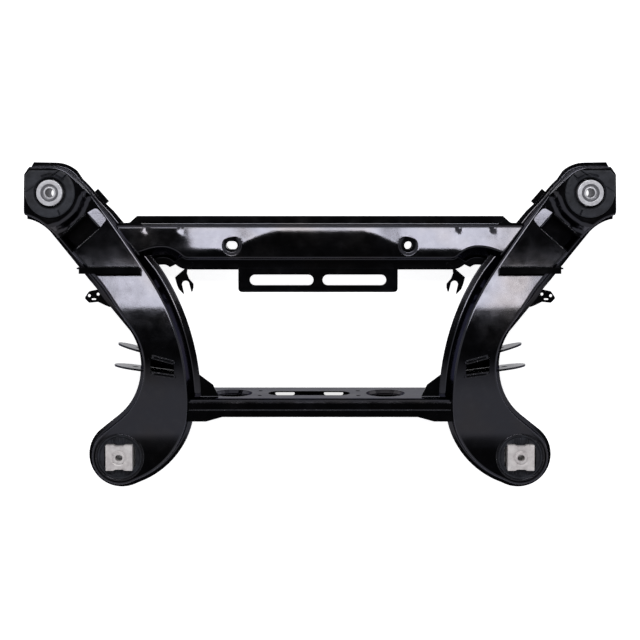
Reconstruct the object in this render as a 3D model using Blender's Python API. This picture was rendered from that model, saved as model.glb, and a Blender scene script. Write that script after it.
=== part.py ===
"""Rear axle subframe of a car: a welded frame of pressed steel sheet, painted gloss black.

Two curved box-section arms run fore and aft and are tied by a front and a rear crossmember. A bonded
rubber bush at each of the four corners carries the body. Link brackets are let into the arms.

Frame: metres, +X to the right, +Y to the front of the car, +Z up. The origin lies on the floor under
the middle of the frame. Only the right-hand pieces are drawn; the left-hand ones are mirrored from them.
"""

import math

import bmesh
import bpy
import numpy as np
from mathutils import Matrix, Vector
from mathutils.geometry import delaunay_2d_cdt

# Fits
WELD_GAP = 0.0003
FISH_GAP = 0.0006

# Mesh pitch of the pressed faces, and the largest turn between two points of an arc
PITCH = 0.036
TURN = math.radians(24)
SHORTEST_EDGE = 0.0002
STEPS = 24

# Share of a wall's width and of its rise, from the flange up to the edge of the face
WALL_PROFILE = ((0.0, 0.0), (0.22, 0.10), (0.74, 0.90), (1.0, 1.0))
PLAIN_PROFILE = ((0.0, 0.0), (1.0, 1.0))
PAN_SPREAD = 1.7

# Arms
ARM_SHEET = 0.0028
ARM_RISE = 0.040
ARM_FLOOR = ((0.340, 0.056), (0.200, 0.052), (0.115, 0.054), (0.030, 0.060),
             (-0.050, 0.064), (-0.125, 0.061), (-0.200, 0.053), (-0.262, 0.050), (-0.340, 0.050))
LOWER_FLANGE_EXTRA = 0.0015
INNER_X = 0.2675
WAIST_X = 0.3441
WAIST_LENGTH = 0.1106
ARM_FOOT = ((0.340, 0.098), (0.260, 0.098), (0.210, 0.098), (0.115, 0.106), (0.030, 0.125),
            (-0.050, 0.132), (-0.125, 0.121), (-0.180, 0.106), (-0.214, 0.095), (-0.242, 0.0915),
            (-0.290, 0.0915), (-0.340, 0.0915))

# Front body mount: a raised pad at the tip of each arm
FRONT_BUSH_X = 0.530
FRONT_BUSH_Y = 0.264
PAD_RISE = 0.020
PAD_RIM = 0.055
PAD_FALL = 0.020
PAD_INNER_FLARE = 0.016
PAD_INNER_ANGLE = math.radians(10)
PAD_INNER_WAY = math.radians(15)
PAD_OUTER_FLARE = 0.006
PAD_OUTER_ANGLE = math.radians(50)
PAD_OUTER_WAY = math.radians(40)
FRONT_TUBE_R = 0.0415
FRONT_TUBE_WALL = 0.0022
FRONT_TUBE_DROP = 0.074
RUBBER_FLANGE_R = 0.0485
RUBBER_FLANGE_T = 0.007
RUBBER_FLANGE_IN = 0.003
RUBBER_TOP = 0.044
RUBBER_CHAMFER = (0.0400, 0.0345)
RUBBER_MOAT_R = 0.0310
RUBBER_MOAT_DEPTH = 0.014
SLEEVE_R = 0.0255
SLEEVE_PROUD = 0.015
SLEEVE_DISH_R = 0.0176
SLEEVE_NOSE_R = 0.0118
SLEEVE_BORE_R = 0.0088
SLEEVE_DISH_DEPTH = 0.006
SLEEVE_DROP = 0.094
BUSH_EDGE = 0.0018

# Rear body mount: a round boss at the tail of each arm
REAR_BUSH_X = 0.400
REAR_BUSH_Y = -0.262
BOSS_FACE_R = 0.0515
REAR_TUBE_R = 0.0470
REAR_TUBE_WALL = 0.0024
REAR_TUBE_PROUD = 0.004
REAR_TUBE_LENGTH = 0.084
CORE_WIDTH = 0.0530
CORE_LENGTH = 0.0510
CORE_NOTCH = 0.0022
CORE_PROUD = 0.013
CORE_DROP = 0.005
CORE_RING_R = 0.0116
CORE_RING_RISE = 0.0016
CORE_BORE_R = 0.0072
VOID_WIDTH = 0.0045
VOID_LENGTH = 0.040
REAR_RUBBER_SINK = 0.006

# Upper link pocket, square to the arm's outer edge
UPPER_POCKET_X = 0.4753
UPPER_POCKET_Y = 0.1858
UPPER_POCKET_TURN = math.radians(-41.8)
UPPER_POCKET_WIDTH = 0.0386
UPPER_POCKET_OUT = 0.0400
UPPER_POCKET_IN = 0.0370
UPPER_SHELF_IN = 0.0590
UPPER_SHELF_WIDTH = 0.0310
POCKET_SHEET = 0.0025
POCKET_DEPTH = 0.052
POCKET_WINDOW_Z = 0.034
LINK_BOLT_R = 0.0065

# Lower link plates: inner end, ear tip, as places in plan
LOWER_PLATES = {"front": ((0.284, -0.0705), (0.405, -0.0370)),
                "rear": ((0.284, -0.0980), (0.413, -0.0800))}
LINK_SHEET = 0.0040
EAR_R = 0.043
EAR_Z = 0.096
PLATE_PROUD = 0.003
LINK_ROOT = 0.050
LINK_BRIDGE = 0.010
LINK_POST = 0.006
LINK_SIDE_OUT = 0.030
LINK_SIDE_HALF = 0.022

# Stop plate across each arm
STOP_Y = 0.117
STOP_INNER_X = 0.353
STOP_OUTER_X = 0.479
STOP_RISE = 0.016
STOP_LIP = 0.012
STOP_SHEET = 0.003

# Front crossmember
FRONT_SHEET = 0.0025
FRONT_TOP_Z = 0.124
FRONT_SEAM_Z = 0.088
FRONT_BOTTOM_Z = 0.058
FRONT_END_IN = 0.110
FRONT_HALF = FRONT_BUSH_X - FRONT_END_IN
FRONT_CREST_Y = 0.194
FRONT_WALL = 0.009
FRONT_FLANGE = 0.0152
FRONT_END_FLANGE = 0.0015
FRONT_TRIM_IN = 0.0380
FRONT_TRIM_END = 0.0535
FRONT_CORNER_R = 0.010
UPPER_SIDE_FLANGE = 0.0080
UPPER_HEEL_FLANGE = 0.0050
LOWER_SIDE_FLANGE = 0.0135
LOWER_HEEL_FLANGE = 0.0195
WAIST_WALL = 0.026
HEEL_WALL = 0.008
FRONT_REAR_Y = 0.138
FRONT_WAIST_Y = 0.160
FRONT_END_Y = 0.128
FRONT_BEND_IN = 0.088
FRONT_WAIST_IN = 0.128
FRONT_HEEL_IN = 0.152
FRONT_BEND_R = 0.100
FRONT_WAIST_R = 0.0573
FRONT_HEEL_R = 0.012
FRONT_HEEL_X = FRONT_HALF - FRONT_HEEL_IN
FRONT_SPREAD = 1.6
FRONT_TILT = 0.20
RIDGE_Y = 0.150
RIDGE_BULGE = 0.036
RIDGE_END_X = 0.200
RIDGE_WAY = 0.120
BOLT_X = 0.1755
BOLT_Y = 0.160
BOLT_DISH_R = 0.0205
BOLT_FLOOR_R = 0.0140
BOLT_DISH_DEPTH = 0.0045
BOLT_SLOT = {"L": 0.0032, "R": 0.0002}
BOLT_HOLE_R = {"L": 0.0082, "R": 0.0078}
BOLT_HOLE_EXTRA = 0.0010
BOLT_TUBE_R = 0.0150
BOLT_TUBE_WALL = 0.0024

# Rear crossmember, a channel closed by a back plate
REAR_SHEET = 0.0025
REAR_FRONT_Y = -0.134
REAR_LEAN = 0.080
REAR_HEIGHT = 0.138
REAR_RETURN = 0.022
REAR_LAP = 0.008
REAR_END_IN = 0.044
REAR_HALF = WAIST_X - REAR_END_IN
BACK_LIP = 0.0145
BACK_FLARE = 0.009
FLARE_START = 0.195
FLARE_END = 0.236
OFFSET_X = -0.0220
DISH_X = 0.154
DISH_Z = 0.074
DISH_R = 0.0395
DISH_DEPTH = 0.006
DISH_SLOPE = 0.005
DISH_HOLE_R = 0.027
REAR_BEND = 0.009
BACK_BEND = 0.0055
REAR_END_TRIM = ((0.320, -0.010), (0.320, 0.100), (0.260, 0.072), (0.208, -0.010))
SLOT_HALF = 0.083
SLOT_HEIGHT = 0.046
PIN_HOLE_X = 0.099
PIN_HOLE_R = 0.0045
PIN_HOLE_RISE = 0.026
DRAIN_X = 0.050
DRAIN_LENGTH = 0.032
COLLAR_WALL = 0.0025
COLLAR_PROUD = 0.0015

# Ladder bracket for the pipes
LADDER_CENTRE_X = -0.004
LADDER_HALF = 0.160
LADDER_REAR_Y = 0.0655
LADDER_DEPTH = 0.050
LADDER_SHEET = 0.0025
LADDER_LIP = 0.006
LADDER_LIP_IN = 0.008
LADDER_END = 0.023
LADDER_BRIDGE = 0.018
LADDER_SLOT = (LADDER_HALF - LADDER_END - LADDER_BRIDGE / 2) / 2
LADDER_SLOT_R = 0.0105
LADDER_SLOT_X = LADDER_BRIDGE / 2 + LADDER_SLOT
LADDER_SLOT_SHIFT = -0.0006

# Cable forks
FORK_X = 0.2695
FORK_Y = 0.111
FORK_SHEET = 0.003
FORK_SLOT_R = 0.0074

# Small plates
CLIP_Z = 0.100
CLIP_SHEET = 0.0024
CLIP_HOLE_R = 0.0030
CLIP_CORNERS = ((0.4040, 0.0400, 0.0), (0.4210, 0.0360, 0.003), (0.4310, 0.0400, 0.002),
                (0.4440, 0.0465, 0.004), (0.4620, 0.0445, 0.004), (0.4715, 0.0540, 0.004),
                (0.4620, 0.0680, 0.006), (0.4470, 0.0710, 0.004), (0.4215, 0.0755, 0.003),
                (0.4060, 0.0700, 0.0))
CLIP_HOLES = ((0.4440, 0.0620), (0.4615, 0.0590))
CLIP_SLOT = (0.4525, 0.0520)
TAB_ENDS = ((0.4490, 0.2680), (0.4270, 0.2430))
TAB_SHEET = 0.003
TAB_SEAT = 0.0008
TAB_OUT = 0.007
TAB_IN = 0.012
JUNCTION_Z = 0.105
JUNCTION_SHEET = 0.003
JUNCTION_SPAN = (0.070, 0.054, 0.034)
JUNCTION_REACH = 0.005
JUNCTION_PEAK = 0.009
GUSSET_SHEET = 0.003
GUSSET_DROP = 0.026
GUSSET_Z = REAR_HEIGHT - GUSSET_DROP
GUSSET_INNER_X = REAR_HALF - 0.097
GUSSET_OUTER_X = REAR_HALF - 0.036
GUSSET_CREST = ((0.058, 0.036), (0.086, 0.015))

BLACK_PAINT = ("black_paint", (0.012, 0.012, 0.014), 0.18, 0.0)
RUBBER = ("rubber", (0.035, 0.037, 0.042), 0.62, 0.0)
ZINC = ("zinc", (0.78, 0.78, 0.80), 0.30, 0.9)
CAST_ALLOY = ("cast_alloy", (0.66, 0.63, 0.61), 0.55, 0.7)


def clear_scene():
    for thing in list(bpy.data.objects):
        bpy.data.objects.remove(thing, do_unlink=True)


def material(finish):
    name, colour, roughness, metallic = finish
    found = bpy.data.materials.get(name)
    if found:
        return found
    made = bpy.data.materials.new(name)
    made.use_nodes = True
    shader = made.node_tree.nodes["Principled BSDF"]
    shader.inputs["Base Color"].default_value = (*colour, 1.0)
    shader.inputs["Roughness"].default_value = roughness
    shader.inputs["Metallic"].default_value = metallic
    return made


def add(name, points, faces, finish=BLACK_PAINT):
    """A mesh object from points and faces, with its faces turned outwards."""
    mesh = bpy.data.meshes.new(name)
    mesh.from_pydata([tuple(p) for p in points], [], [tuple(f) for f in faces])
    work = bmesh.new()
    work.from_mesh(mesh)
    bmesh.ops.recalc_face_normals(work, faces=work.faces)
    work.to_mesh(mesh)
    work.free()
    mesh.shade_smooth()
    mesh.set_sharp_from_angle(angle=math.radians(32))
    mesh.materials.append(material(finish))
    made = bpy.data.objects.new(name, mesh)
    bpy.context.scene.collection.objects.link(made)
    return made


def as_helper(thing):
    thing.hide_render = True
    thing.display_type = "WIRE"
    return thing


def boolean(thing, other, operation):
    step = thing.modifiers.new(operation.lower() + "_" + other.name, "BOOLEAN")
    step.operation = operation
    step.solver = "EXACT"
    step.object = as_helper(other)
    return thing


def cut(thing, *cutters):
    for cutter in cutters:
        boolean(thing, cutter, "DIFFERENCE")
    return thing


def join(thing, *others):
    for other in others:
        boolean(thing, other, "UNION")
    return thing


def mirrored(thing, name):
    """A left-hand copy of a finished right-hand object, as its own mesh."""
    bpy.context.view_layer.update()
    done = thing.evaluated_get(bpy.context.evaluated_depsgraph_get())
    mesh = bpy.data.meshes.new_from_object(done)
    mesh.name = name
    mesh.transform(Matrix.Scale(-1.0, 4, (1.0, 0.0, 0.0)))
    mesh.flip_normals()
    made = bpy.data.objects.new(name, mesh)
    bpy.context.scene.collection.objects.link(made)
    if thing.hide_render:
        as_helper(made)
    return made


def smooth_step(share):
    share = np.clip(share, 0.0, 1.0)
    return share * share * (3.0 - 2.0 * share)


def through_stations(stations, at):
    """A smooth curve through (place, value) stations, read at the places given."""
    place, value = np.array(sorted(stations)).T
    slope = np.gradient(value, place)
    i = np.clip(np.searchsorted(place, at) - 1, 0, len(place) - 2)
    width = place[i + 1] - place[i]
    t = np.clip((at - place[i]) / width, 0.0, 1.0)
    return ((1 + 2 * t) * (1 - t) ** 2 * value[i] + t * (1 - t) ** 2 * width * slope[i]
            + t * t * (3 - 2 * t) * value[i + 1] + t * t * (t - 1) * width * slope[i + 1])


def rounded(corners, pitch=PITCH):
    """A closed outline with an arc at each (x, y, radius, ...) corner; what follows is blended along it."""
    corners = np.array(corners, float)
    here, ahead, behind = corners, np.roll(corners, -1, axis=0), np.roll(corners, 1, axis=0)
    arcs = []
    for corner, after, before in zip(here, ahead, behind):
        if not corner[2]:
            arcs.append(np.delete(corner, 2)[None])
            continue
        back =(before[:2] - corner[:2]) / np.linalg.norm(before[:2] - corner[:2])
        on = (after[:2] - corner[:2]) / np.linalg.norm(after[:2] - corner[:2])
        turn = math.pi - math.acos(np.clip(back @ on, -1.0, 1.0))
        reach = corner[2] * math.tan(turn / 2)
        steps = max(1, math.ceil(turn / TURN), math.ceil(corner[2] * turn / pitch))
        centre = corner[:2] + (back + on) / np.linalg.norm(back + on) * corner[2] / math.cos(turn / 2)
        start = corner[:2] + back * reach - centre
        way = math.copysign(1.0, -back[0] * on[1] + back[1] * on[0])
        arc = []
        for k in range(steps + 1):
            angle = way * turn * k / steps
            c, s = math.cos(angle), math.sin(angle)
            spot = centre + np.array((c * start[0] - s * start[1], s * start[0] + c * start[1]))
            arc.append((*spot, *corner[3:]))
        arcs.append(np.array(arc))
    points = []
    for arc, following in zip(arcs, arcs[1:] + arcs[:1]):
        points.extend(arc)
        a, b = arc[-1], following[0]
        count = max(1, round(np.linalg.norm(b[:2] - a[:2]) / pitch))
        points.extend(a + (b - a) * k / count for k in range(1, count))
    points = np.array(points)
    apart = np.linalg.norm(points[:, :2] - np.roll(points[:, :2], 1, axis=0), axis=1)
    return points[apart > SHORTEST_EDGE]


def outward(points):
    """The unit normals of a closed outline that runs anticlockwise."""
    along = np.roll(points, -1, axis=0) - np.roll(points, 1, axis=0)
    along /= np.linalg.norm(along, axis=1)[:, None]
    return np.column_stack((along[:, 1], -along[:, 0]))


def inside(points, outline):
    """Which points lie within a closed outline."""
    x, y = points[:, 0:1], points[:, 1:2]
    x1, y1 = outline[:, 0], outline[:, 1]
    x2, y2 = np.roll(x1, -1), np.roll(y1, -1)
    crosses = (y1 > y) != (y2 > y)
    with np.errstate(divide="ignore", invalid="ignore"):
        meets = (x2 - x1) * (y - y1) / (y2 - y1) + x1
    return (crosses & (x < meets)).sum(axis=1) % 2 == 1


def distance_to(loop, points):
    """How far each point lies from a closed line."""
    start = loop[None, :, :2]
    along = np.roll(loop[:, :2], -1, axis=0)[None] - start
    reach = ((points[:, None] - start) * along).sum(axis=2) / np.maximum((along ** 2).sum(axis=2), 1e-12)
    nearest = start + along * np.clip(reach, 0.0, 1.0)[:, :, None]
    return np.linalg.norm(points[:, None] - nearest, axis=2).min(axis=1)


def circle(x, y, radius, count=STEPS):
    turn = np.linspace(0.0, 2 * math.pi, count, endpoint=False)
    return np.column_stack((x + radius * np.cos(turn), y + radius * np.sin(turn)))


def slot(x, y, half, radius, count=12):
    """An outline with round ends, long in X."""
    turn = np.linspace(-math.pi / 2, math.pi / 2, count // 2 + 1)
    right = np.column_stack((x + half + radius * np.cos(turn), y + radius * np.sin(turn)))
    left = np.column_stack((x - half - radius * np.cos(turn), y - radius * np.sin(turn)))
    return np.vstack((right, left))


def face_mesh(border, holes, spots, pitch):
    """Triangles over a face, between its border and its holes, with extra spots that it passes through."""
    loops = [border[:, :2], *holes]
    low, high = border[:, :2].min(axis=0), border[:, :2].max(axis=0)
    counts = np.maximum(1, np.round((high - low) / pitch)).astype(int)
    rows = (np.linspace(low[axis], high[axis], counts[axis] + 1) for axis in (0, 1))
    grid = np.stack(np.meshgrid(*rows), axis=-1).reshape(-1, 2)
    grid = grid[inside(grid, border)]
    for hole in holes:
        grid = grid[~inside(grid, hole)]
    rim = np.vstack((*loops, *spots))
    for loop in (*loops, *spots):
        grid = grid[distance_to(loop, grid) > 0.45 * pitch]
    edges, start = [], 0
    for loop in loops:
        count = len(loop)
        edges.extend((start + k, start + (k + 1) % count) for k in range(count))
        start += count
    points = np.vstack((rim, grid)) if len(grid) else rim
    found, _, faces, *_ = delaunay_2d_cdt([Vector(p) for p in points], edges, [], 1, 1e-7)
    found = np.array([tuple(p) for p in found])
    middles = np.array([found[list(f)].mean(axis=0) for f in faces])
    keep = np.ones(len(faces), bool)
    for hole in holes:
        keep &= ~inside(middles, hole)
    return found, [tuple(f) for f, kept in zip(faces, keep) if kept]


def pressed_skin(corners, face, foot, holes=(), spots=(), spread=1.0, profile=WALL_PROFILE, extra=0.0):
    """The outer surface of a pressing: a flange, a sloped wall and a face, as points and faces.

    Each corner is (x, y, radius, flange width, wall width) on the edge of the face. The functions face
    and foot give the height of the face and of the flange at any place. The face's own points stand
    further apart than the edge's by the spread.
    """
    base = rounded(corners)
    normals = outward(base[:, :2])
    flange, wall = base[:, 2:3] + extra, base[:, 3:4]
    plans = [base[:, :2] + normals * (flange + wall)]
    plans += [base[:, :2] + normals * wall * (1.0 - share) for share, _ in profile]
    rises = [0.0] + [rise for _, rise in profile]
    count = len(base)
    points, faces = [], []
    for plan, rise in zip(plans[:-1], rises[:-1]):
        low, high = foot(base), face(base)
        points.append(np.column_stack((plan, low + (high - low) * rise)))
    inner, triangles = face_mesh(plans[-1], holes, spots, PITCH * spread)
    heights = face(inner)
    first = count * (len(plans) - 1)
    points.append(np.column_stack((inner, heights)))
    for row in range(len(plans) - 1):
        for k in range(count):
            after = (k + 1) % count
            a, b = row * count + k, row * count + after
            faces.extend(((a, b, b + count), (a, b + count, a + count)))
    faces.extend(tuple(first + i for i in f) for f in triangles)
    return np.vstack(points), faces


def vertex_normals(points, faces):
    normals = np.zeros_like(points)
    for f in faces:
        a, b, c = points[list(f)]
        normals[list(f)] += np.cross(b - a, c - a)
    return normals / np.linalg.norm(normals, axis=1)[:, None]


def rim_edges(faces):
    """The directed edges that only one face uses."""
    seen = {}
    for f in faces:
        for a, b in zip(f, f[1:] + f[:1]):
            seen[(a, b)] = True
    return [(a, b) for a, b in seen if (b, a) not in seen]


def closed_faces(faces, count):
    """The faces, the same ones turned over on the points count further on, and a band along their rim."""
    made = list(faces) + [tuple(i + count for i in reversed(f)) for f in faces]
    for a, b in rim_edges(faces):
        made.extend(((b, a, a + count), (b, a + count, b + count)))
    return made


def thicken(name, skin, sheet, finish=BLACK_PAINT):
    """A closed solid of even thickness behind a skin; a negative sheet grows on the side it faces."""
    points, faces = skin
    behind = points - vertex_normals(points, faces) * sheet
    return add(name, np.vstack((points, behind)), closed_faces(faces, len(points)), finish)


def between_skins(name, upper, lower):
    """A closed solid between two skins whose outermost rows match, as a cutter."""
    top, over = upper
    bottom, under = lower
    count = len(top)
    faces = list(over) + [tuple(i + count for i in reversed(f)) for f in under]
    for a, b in rim_edges(over):
        faces.extend(((b, a, a + count), (b, a + count, b + count)))
    return as_helper(add(name, np.vstack((top, bottom)), faces))


def grown(skin, clearance, up=1.0):
    """A skin pushed out along its normals."""
    points, faces = skin
    return points + vertex_normals(points, faces) * clearance * up, faces


def prism(name, outline, low, high, holes=(), finish=BLACK_PAINT, frame=Matrix()):
    """An outline, less its holes, raised from low to high in its own frame."""
    outline = np.array(outline, float)[:, :2]
    flat, triangles = face_mesh(outline, list(holes), (), 10.0)
    points = np.column_stack((flat, np.full(len(flat), high)))
    under = np.column_stack((flat, np.full(len(flat), low)))
    made = [frame @ Vector(p) for p in np.vstack((points, under))]
    return add(name, made, closed_faces(triangles, len(points)), finish)


def turned(name, profile, x, y, steps=STEPS, finish=BLACK_PAINT):
    """A closed (radius, height) profile turned about an upright axis at x, y."""
    points, faces = [], []
    rows = len(profile)
    for k in range(steps):
        angle = 2 * math.pi * k / steps
        for radius, height in profile:
            points.append((x + radius * math.cos(angle), y + radius * math.sin(angle), height))
    for k in range(steps):
        for j in range(rows):
            a, b = k * rows + j, k * rows + (j + 1) % rows
            c, d = (b + rows) % len(points), (a + rows) % len(points)
            faces.append((a, b, c, d))
    return add(name, points, faces, finish)


def upright(origin, along):
    """A frame with X along a direction in plan, Y upright and Z along the plate's normal."""
    x = Vector((*along, 0.0)).normalized()
    y = Vector((0.0, 0.0, 1.0))
    z = x.cross(y)
    made = Matrix((x, y, z)).transposed().to_4x4()
    made.translation = Vector((*origin, 0.0))
    return made


# Arms

def tangent_corner(start, end):
    """Where two tangents of the boss meet, given the angles of their touching points."""
    middle, half = math.radians((start + end) / 2), math.radians((end - start) / 2)
    reach = BOSS_FACE_R / math.cos(half)
    return REAR_BUSH_X + reach * math.cos(middle), REAR_BUSH_Y + reach * math.sin(middle)


def boss_tangent_at(x, angle):
    """The height in plan, at x, of the boss's tangent that touches it at an angle."""
    normal = math.radians(angle)
    along = (BOSS_FACE_R - (x - REAR_BUSH_X) * math.cos(normal)) / math.sin(normal)
    return REAR_BUSH_Y + along


TAIL_ANGLE = -115.5
NECK_ANGLE = 50.0

# Each corner: x, y, arc radius, flange width, wall width
ARM_CORNERS = (
    (0.5800, 0.3000, 0.003, 0.0015, 0.0025),
    (0.5722, 0.3118, 0.001, 0.0015, 0.0025),
    (0.5706, 0.3120, 0.0, 0.006, 0.006),
    (0.5073, 0.3120, 0.052, 0.0055, 0.0057),
    (0.4620, 0.2707, 0.200, 0.0035, 0.0030),
    (0.4260, 0.2190, 0.0, 0.006, 0.009),
    (INNER_X, -0.0075, 0.420, 0.009, 0.0185),
    (INNER_X, boss_tangent_at(INNER_X, TAIL_ANGLE), 0.159, 0.005, 0.009),
    (*tangent_corner(TAIL_ANGLE, 0.0), BOSS_FACE_R, 0.005, 0.008),
    (*tangent_corner(0.0, NECK_ANGLE), BOSS_FACE_R, 0.005, 0.008),
    (WAIST_X, boss_tangent_at(WAIST_X, NECK_ANGLE), 0.140, 0.005, 0.007),
    (WAIST_X, boss_tangent_at(WAIST_X, NECK_ANGLE) + WAIST_LENGTH, 0.132, 0.004, 0.007),
    (0.4274, 0.0862, 0.300, 0.005, 0.015),
    (0.5486, 0.2149, 0.100, 0.004, 0.007),
    (0.5794, 0.2243, 0.0, 0.005, 0.007),
    (0.5815, 0.2262, 0.001, 0.0015, 0.0025),
)


def arm_foot(places):
    return through_stations(ARM_FOOT, places[:, 1])


def pad_rim(angle):
    """How far the pad's rim stands from the bush, where 0 points inwards and a right angle to the rear."""
    inner = PAD_INNER_FLARE * smooth_step((PAD_INNER_ANGLE - angle) / PAD_INNER_WAY)
    outer = PAD_OUTER_FLARE * smooth_step((angle - PAD_OUTER_ANGLE) / PAD_OUTER_WAY)
    return PAD_RIM + inner + outer


def pad_share(places):
    """1 on the raised pad, 0 beyond the foot of its rim."""
    dx = FRONT_BUSH_X - places[:, 0]
    dy = FRONT_BUSH_Y - places[:, 1]
    rim = pad_rim(np.arctan2(dy, dx))
    off = np.hypot(np.maximum(dx, 0.0), np.maximum(dy, 0.0))
    return smooth_step((rim + PAD_FALL - off) / PAD_FALL)


def arm_top(places):
    return arm_foot(places) + ARM_RISE + PAD_RISE * pad_share(places)


def arm_seam(places):
    """The lower shell's flange lies under the upper one."""
    return arm_foot(places) - 2 * ARM_SHEET - WELD_GAP


def arm_bottom(places):
    return through_stations(ARM_FLOOR, places[:, 1])


def height_at(rule, x, y):
    return float(rule(np.array(((x, y),), float))[0])


PAD_Z = height_at(arm_top, FRONT_BUSH_X, FRONT_BUSH_Y)
BOSS_Z = height_at(arm_top, REAR_BUSH_X, REAR_BUSH_Y)
RECESS_Z = height_at(arm_top, UPPER_POCKET_X, UPPER_POCKET_Y)


def pocket_frame():
    """X out along the link, Y towards the pad, Z up."""
    place = Matrix.Translation((UPPER_POCKET_X, UPPER_POCKET_Y, 0.0))
    return place @ Matrix.Rotation(UPPER_POCKET_TURN, 4, "Z")


def pocket_outline(clearance):
    """The plan of the upper link pocket: a wide channel with a narrower shelf at its inner end."""
    half, shelf = UPPER_POCKET_WIDTH / 2 + clearance, UPPER_SHELF_WIDTH / 2 + clearance
    out, neck, end = UPPER_POCKET_OUT, -UPPER_POCKET_IN, -UPPER_SHELF_IN - clearance
    return rounded(((out, half, 0.0), (neck, half, 0.004), (end, shelf, 0.008),
                    (end, -shelf, 0.008), (neck, -half, 0.004), (out, -half, 0.0)), 1.0)


def lower_plate_frame(which):
    inner, tip = LOWER_PLATES[which]
    along = (tip[0] - inner[0], tip[1] - inner[1])
    return upright(inner, along), math.hypot(*along)


def lower_plate_outline(which, clearance):
    """A link plate: a tall root inside the arm and a round ear outside it."""
    frame, length = lower_plate_frame(which)
    inner = LOWER_PLATES[which][0]
    top = height_at(arm_top, *inner) + PLATE_PROUD + clearance
    bottom = EAR_Z - EAR_R - clearance
    crown = EAR_Z + EAR_R + clearance
    root = LINK_ROOT + clearance
    return rounded(((-clearance, bottom, 0.010), (length + clearance, bottom, EAR_R + clearance),
                    (length + clearance, crown, EAR_R + clearance), (root, crown, 0.002),
                    (root, top, 0.006), (-clearance, top, 0.006)), 1.0)


def lower_plate(name, which, clearance=0.0):
    frame, length = lower_plate_frame(which)
    half = LINK_SHEET / 2 + clearance
    holes = [] if clearance else [circle(length - EAR_R, EAR_Z, LINK_BOLT_R, 16)]
    return prism(name, lower_plate_outline(which, clearance), -half, half, holes, frame=frame)


def link_window(name, near, far, inset, low, high):
    """A cutter for the space that the lower link works in, between its two plates."""

    def along(which, x):
        (x1, y1), (x2, y2) = LOWER_PLATES[which]
        return y1 + (y2 - y1) * (x - x1) / (x2 - x1)

    outline = ((near, along("rear", near) + inset), (far, along("rear", far) + inset),
               (far, along("front", far) - inset), (near, along("front", near) - inset))
    return prism(name, outline, low, high)


def make_arms():
    upper = pressed_skin(ARM_CORNERS, arm_top, arm_foot, spots=(pad_rim_spots(),))
    lower = pressed_skin(ARM_CORNERS, arm_bottom, arm_seam, spread=PAN_SPREAD, profile=PLAIN_PROFILE,
                         extra=LOWER_FLANGE_EXTRA)
    shell = thicken("arm_upper_shell_R", upper, ARM_SHEET)
    pan = thicken("arm_lower_shell_R", lower, -ARM_SHEET)
    high = PAD_Z + ARM_RISE
    bores = [prism("front_bush_bore", circle(FRONT_BUSH_X, FRONT_BUSH_Y, FRONT_TUBE_R + WELD_GAP), 0.0, high),
             prism("rear_bush_bore", circle(REAR_BUSH_X, REAR_BUSH_Y, REAR_TUBE_R + WELD_GAP), 0.0, high)]
    cut(shell, *bores)
    cut(pan, *bores)
    window = prism("upper_window", pocket_outline(WELD_GAP), RECESS_Z - POCKET_WINDOW_Z,
                   RECESS_Z + POCKET_WINDOW_Z, frame=pocket_frame())
    slots = [lower_plate("plate_slot_" + which, which, WELD_GAP) for which in LOWER_PLATES]
    near = LOWER_PLATES["front"][0][0] + LINK_SHEET
    seam = height_at(arm_seam, WAIST_X, LOWER_PLATES["rear"][0][1])
    top_window = link_window("link_window_top", near, WAIST_X - LINK_BRIDGE, 0.0, seam, seam + ARM_RISE * 2)
    side_window = link_window("link_window_side", WAIST_X - LINK_BRIDGE, WAIST_X + LINK_SIDE_OUT, LINK_POST,
                              EAR_Z - LINK_SIDE_HALF, EAR_Z + LINK_SIDE_HALF)
    cut(shell, window, top_window, *slots)
    cut(pan, side_window, *slots)
    reach = LOWER_FLANGE_EXTRA + FISH_GAP
    cover = pressed_skin(ARM_CORNERS, arm_top, arm_foot, spots=(pad_rim_spots(),), extra=reach)
    tray = pressed_skin(ARM_CORNERS, arm_bottom, arm_seam, profile=PLAIN_PROFILE, extra=reach)
    envelope = between_skins("arm_envelope_R", grown(cover, FISH_GAP), grown(tray, FISH_GAP, -1.0))
    return shell, pan, envelope


def pad_rim_spots():
    """Points along the slope of the pad's rim, so that it is drawn evenly."""
    angle = np.linspace(math.radians(12), math.radians(74), 7)
    rows = []
    for share in (0.0, 0.5, 1.0):
        off = pad_rim(angle) + PAD_FALL * share
        rows.append(np.column_stack((FRONT_BUSH_X - off * np.cos(angle), FRONT_BUSH_Y - off * np.sin(angle))))
    return np.vstack(rows)


# Body mounts

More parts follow.
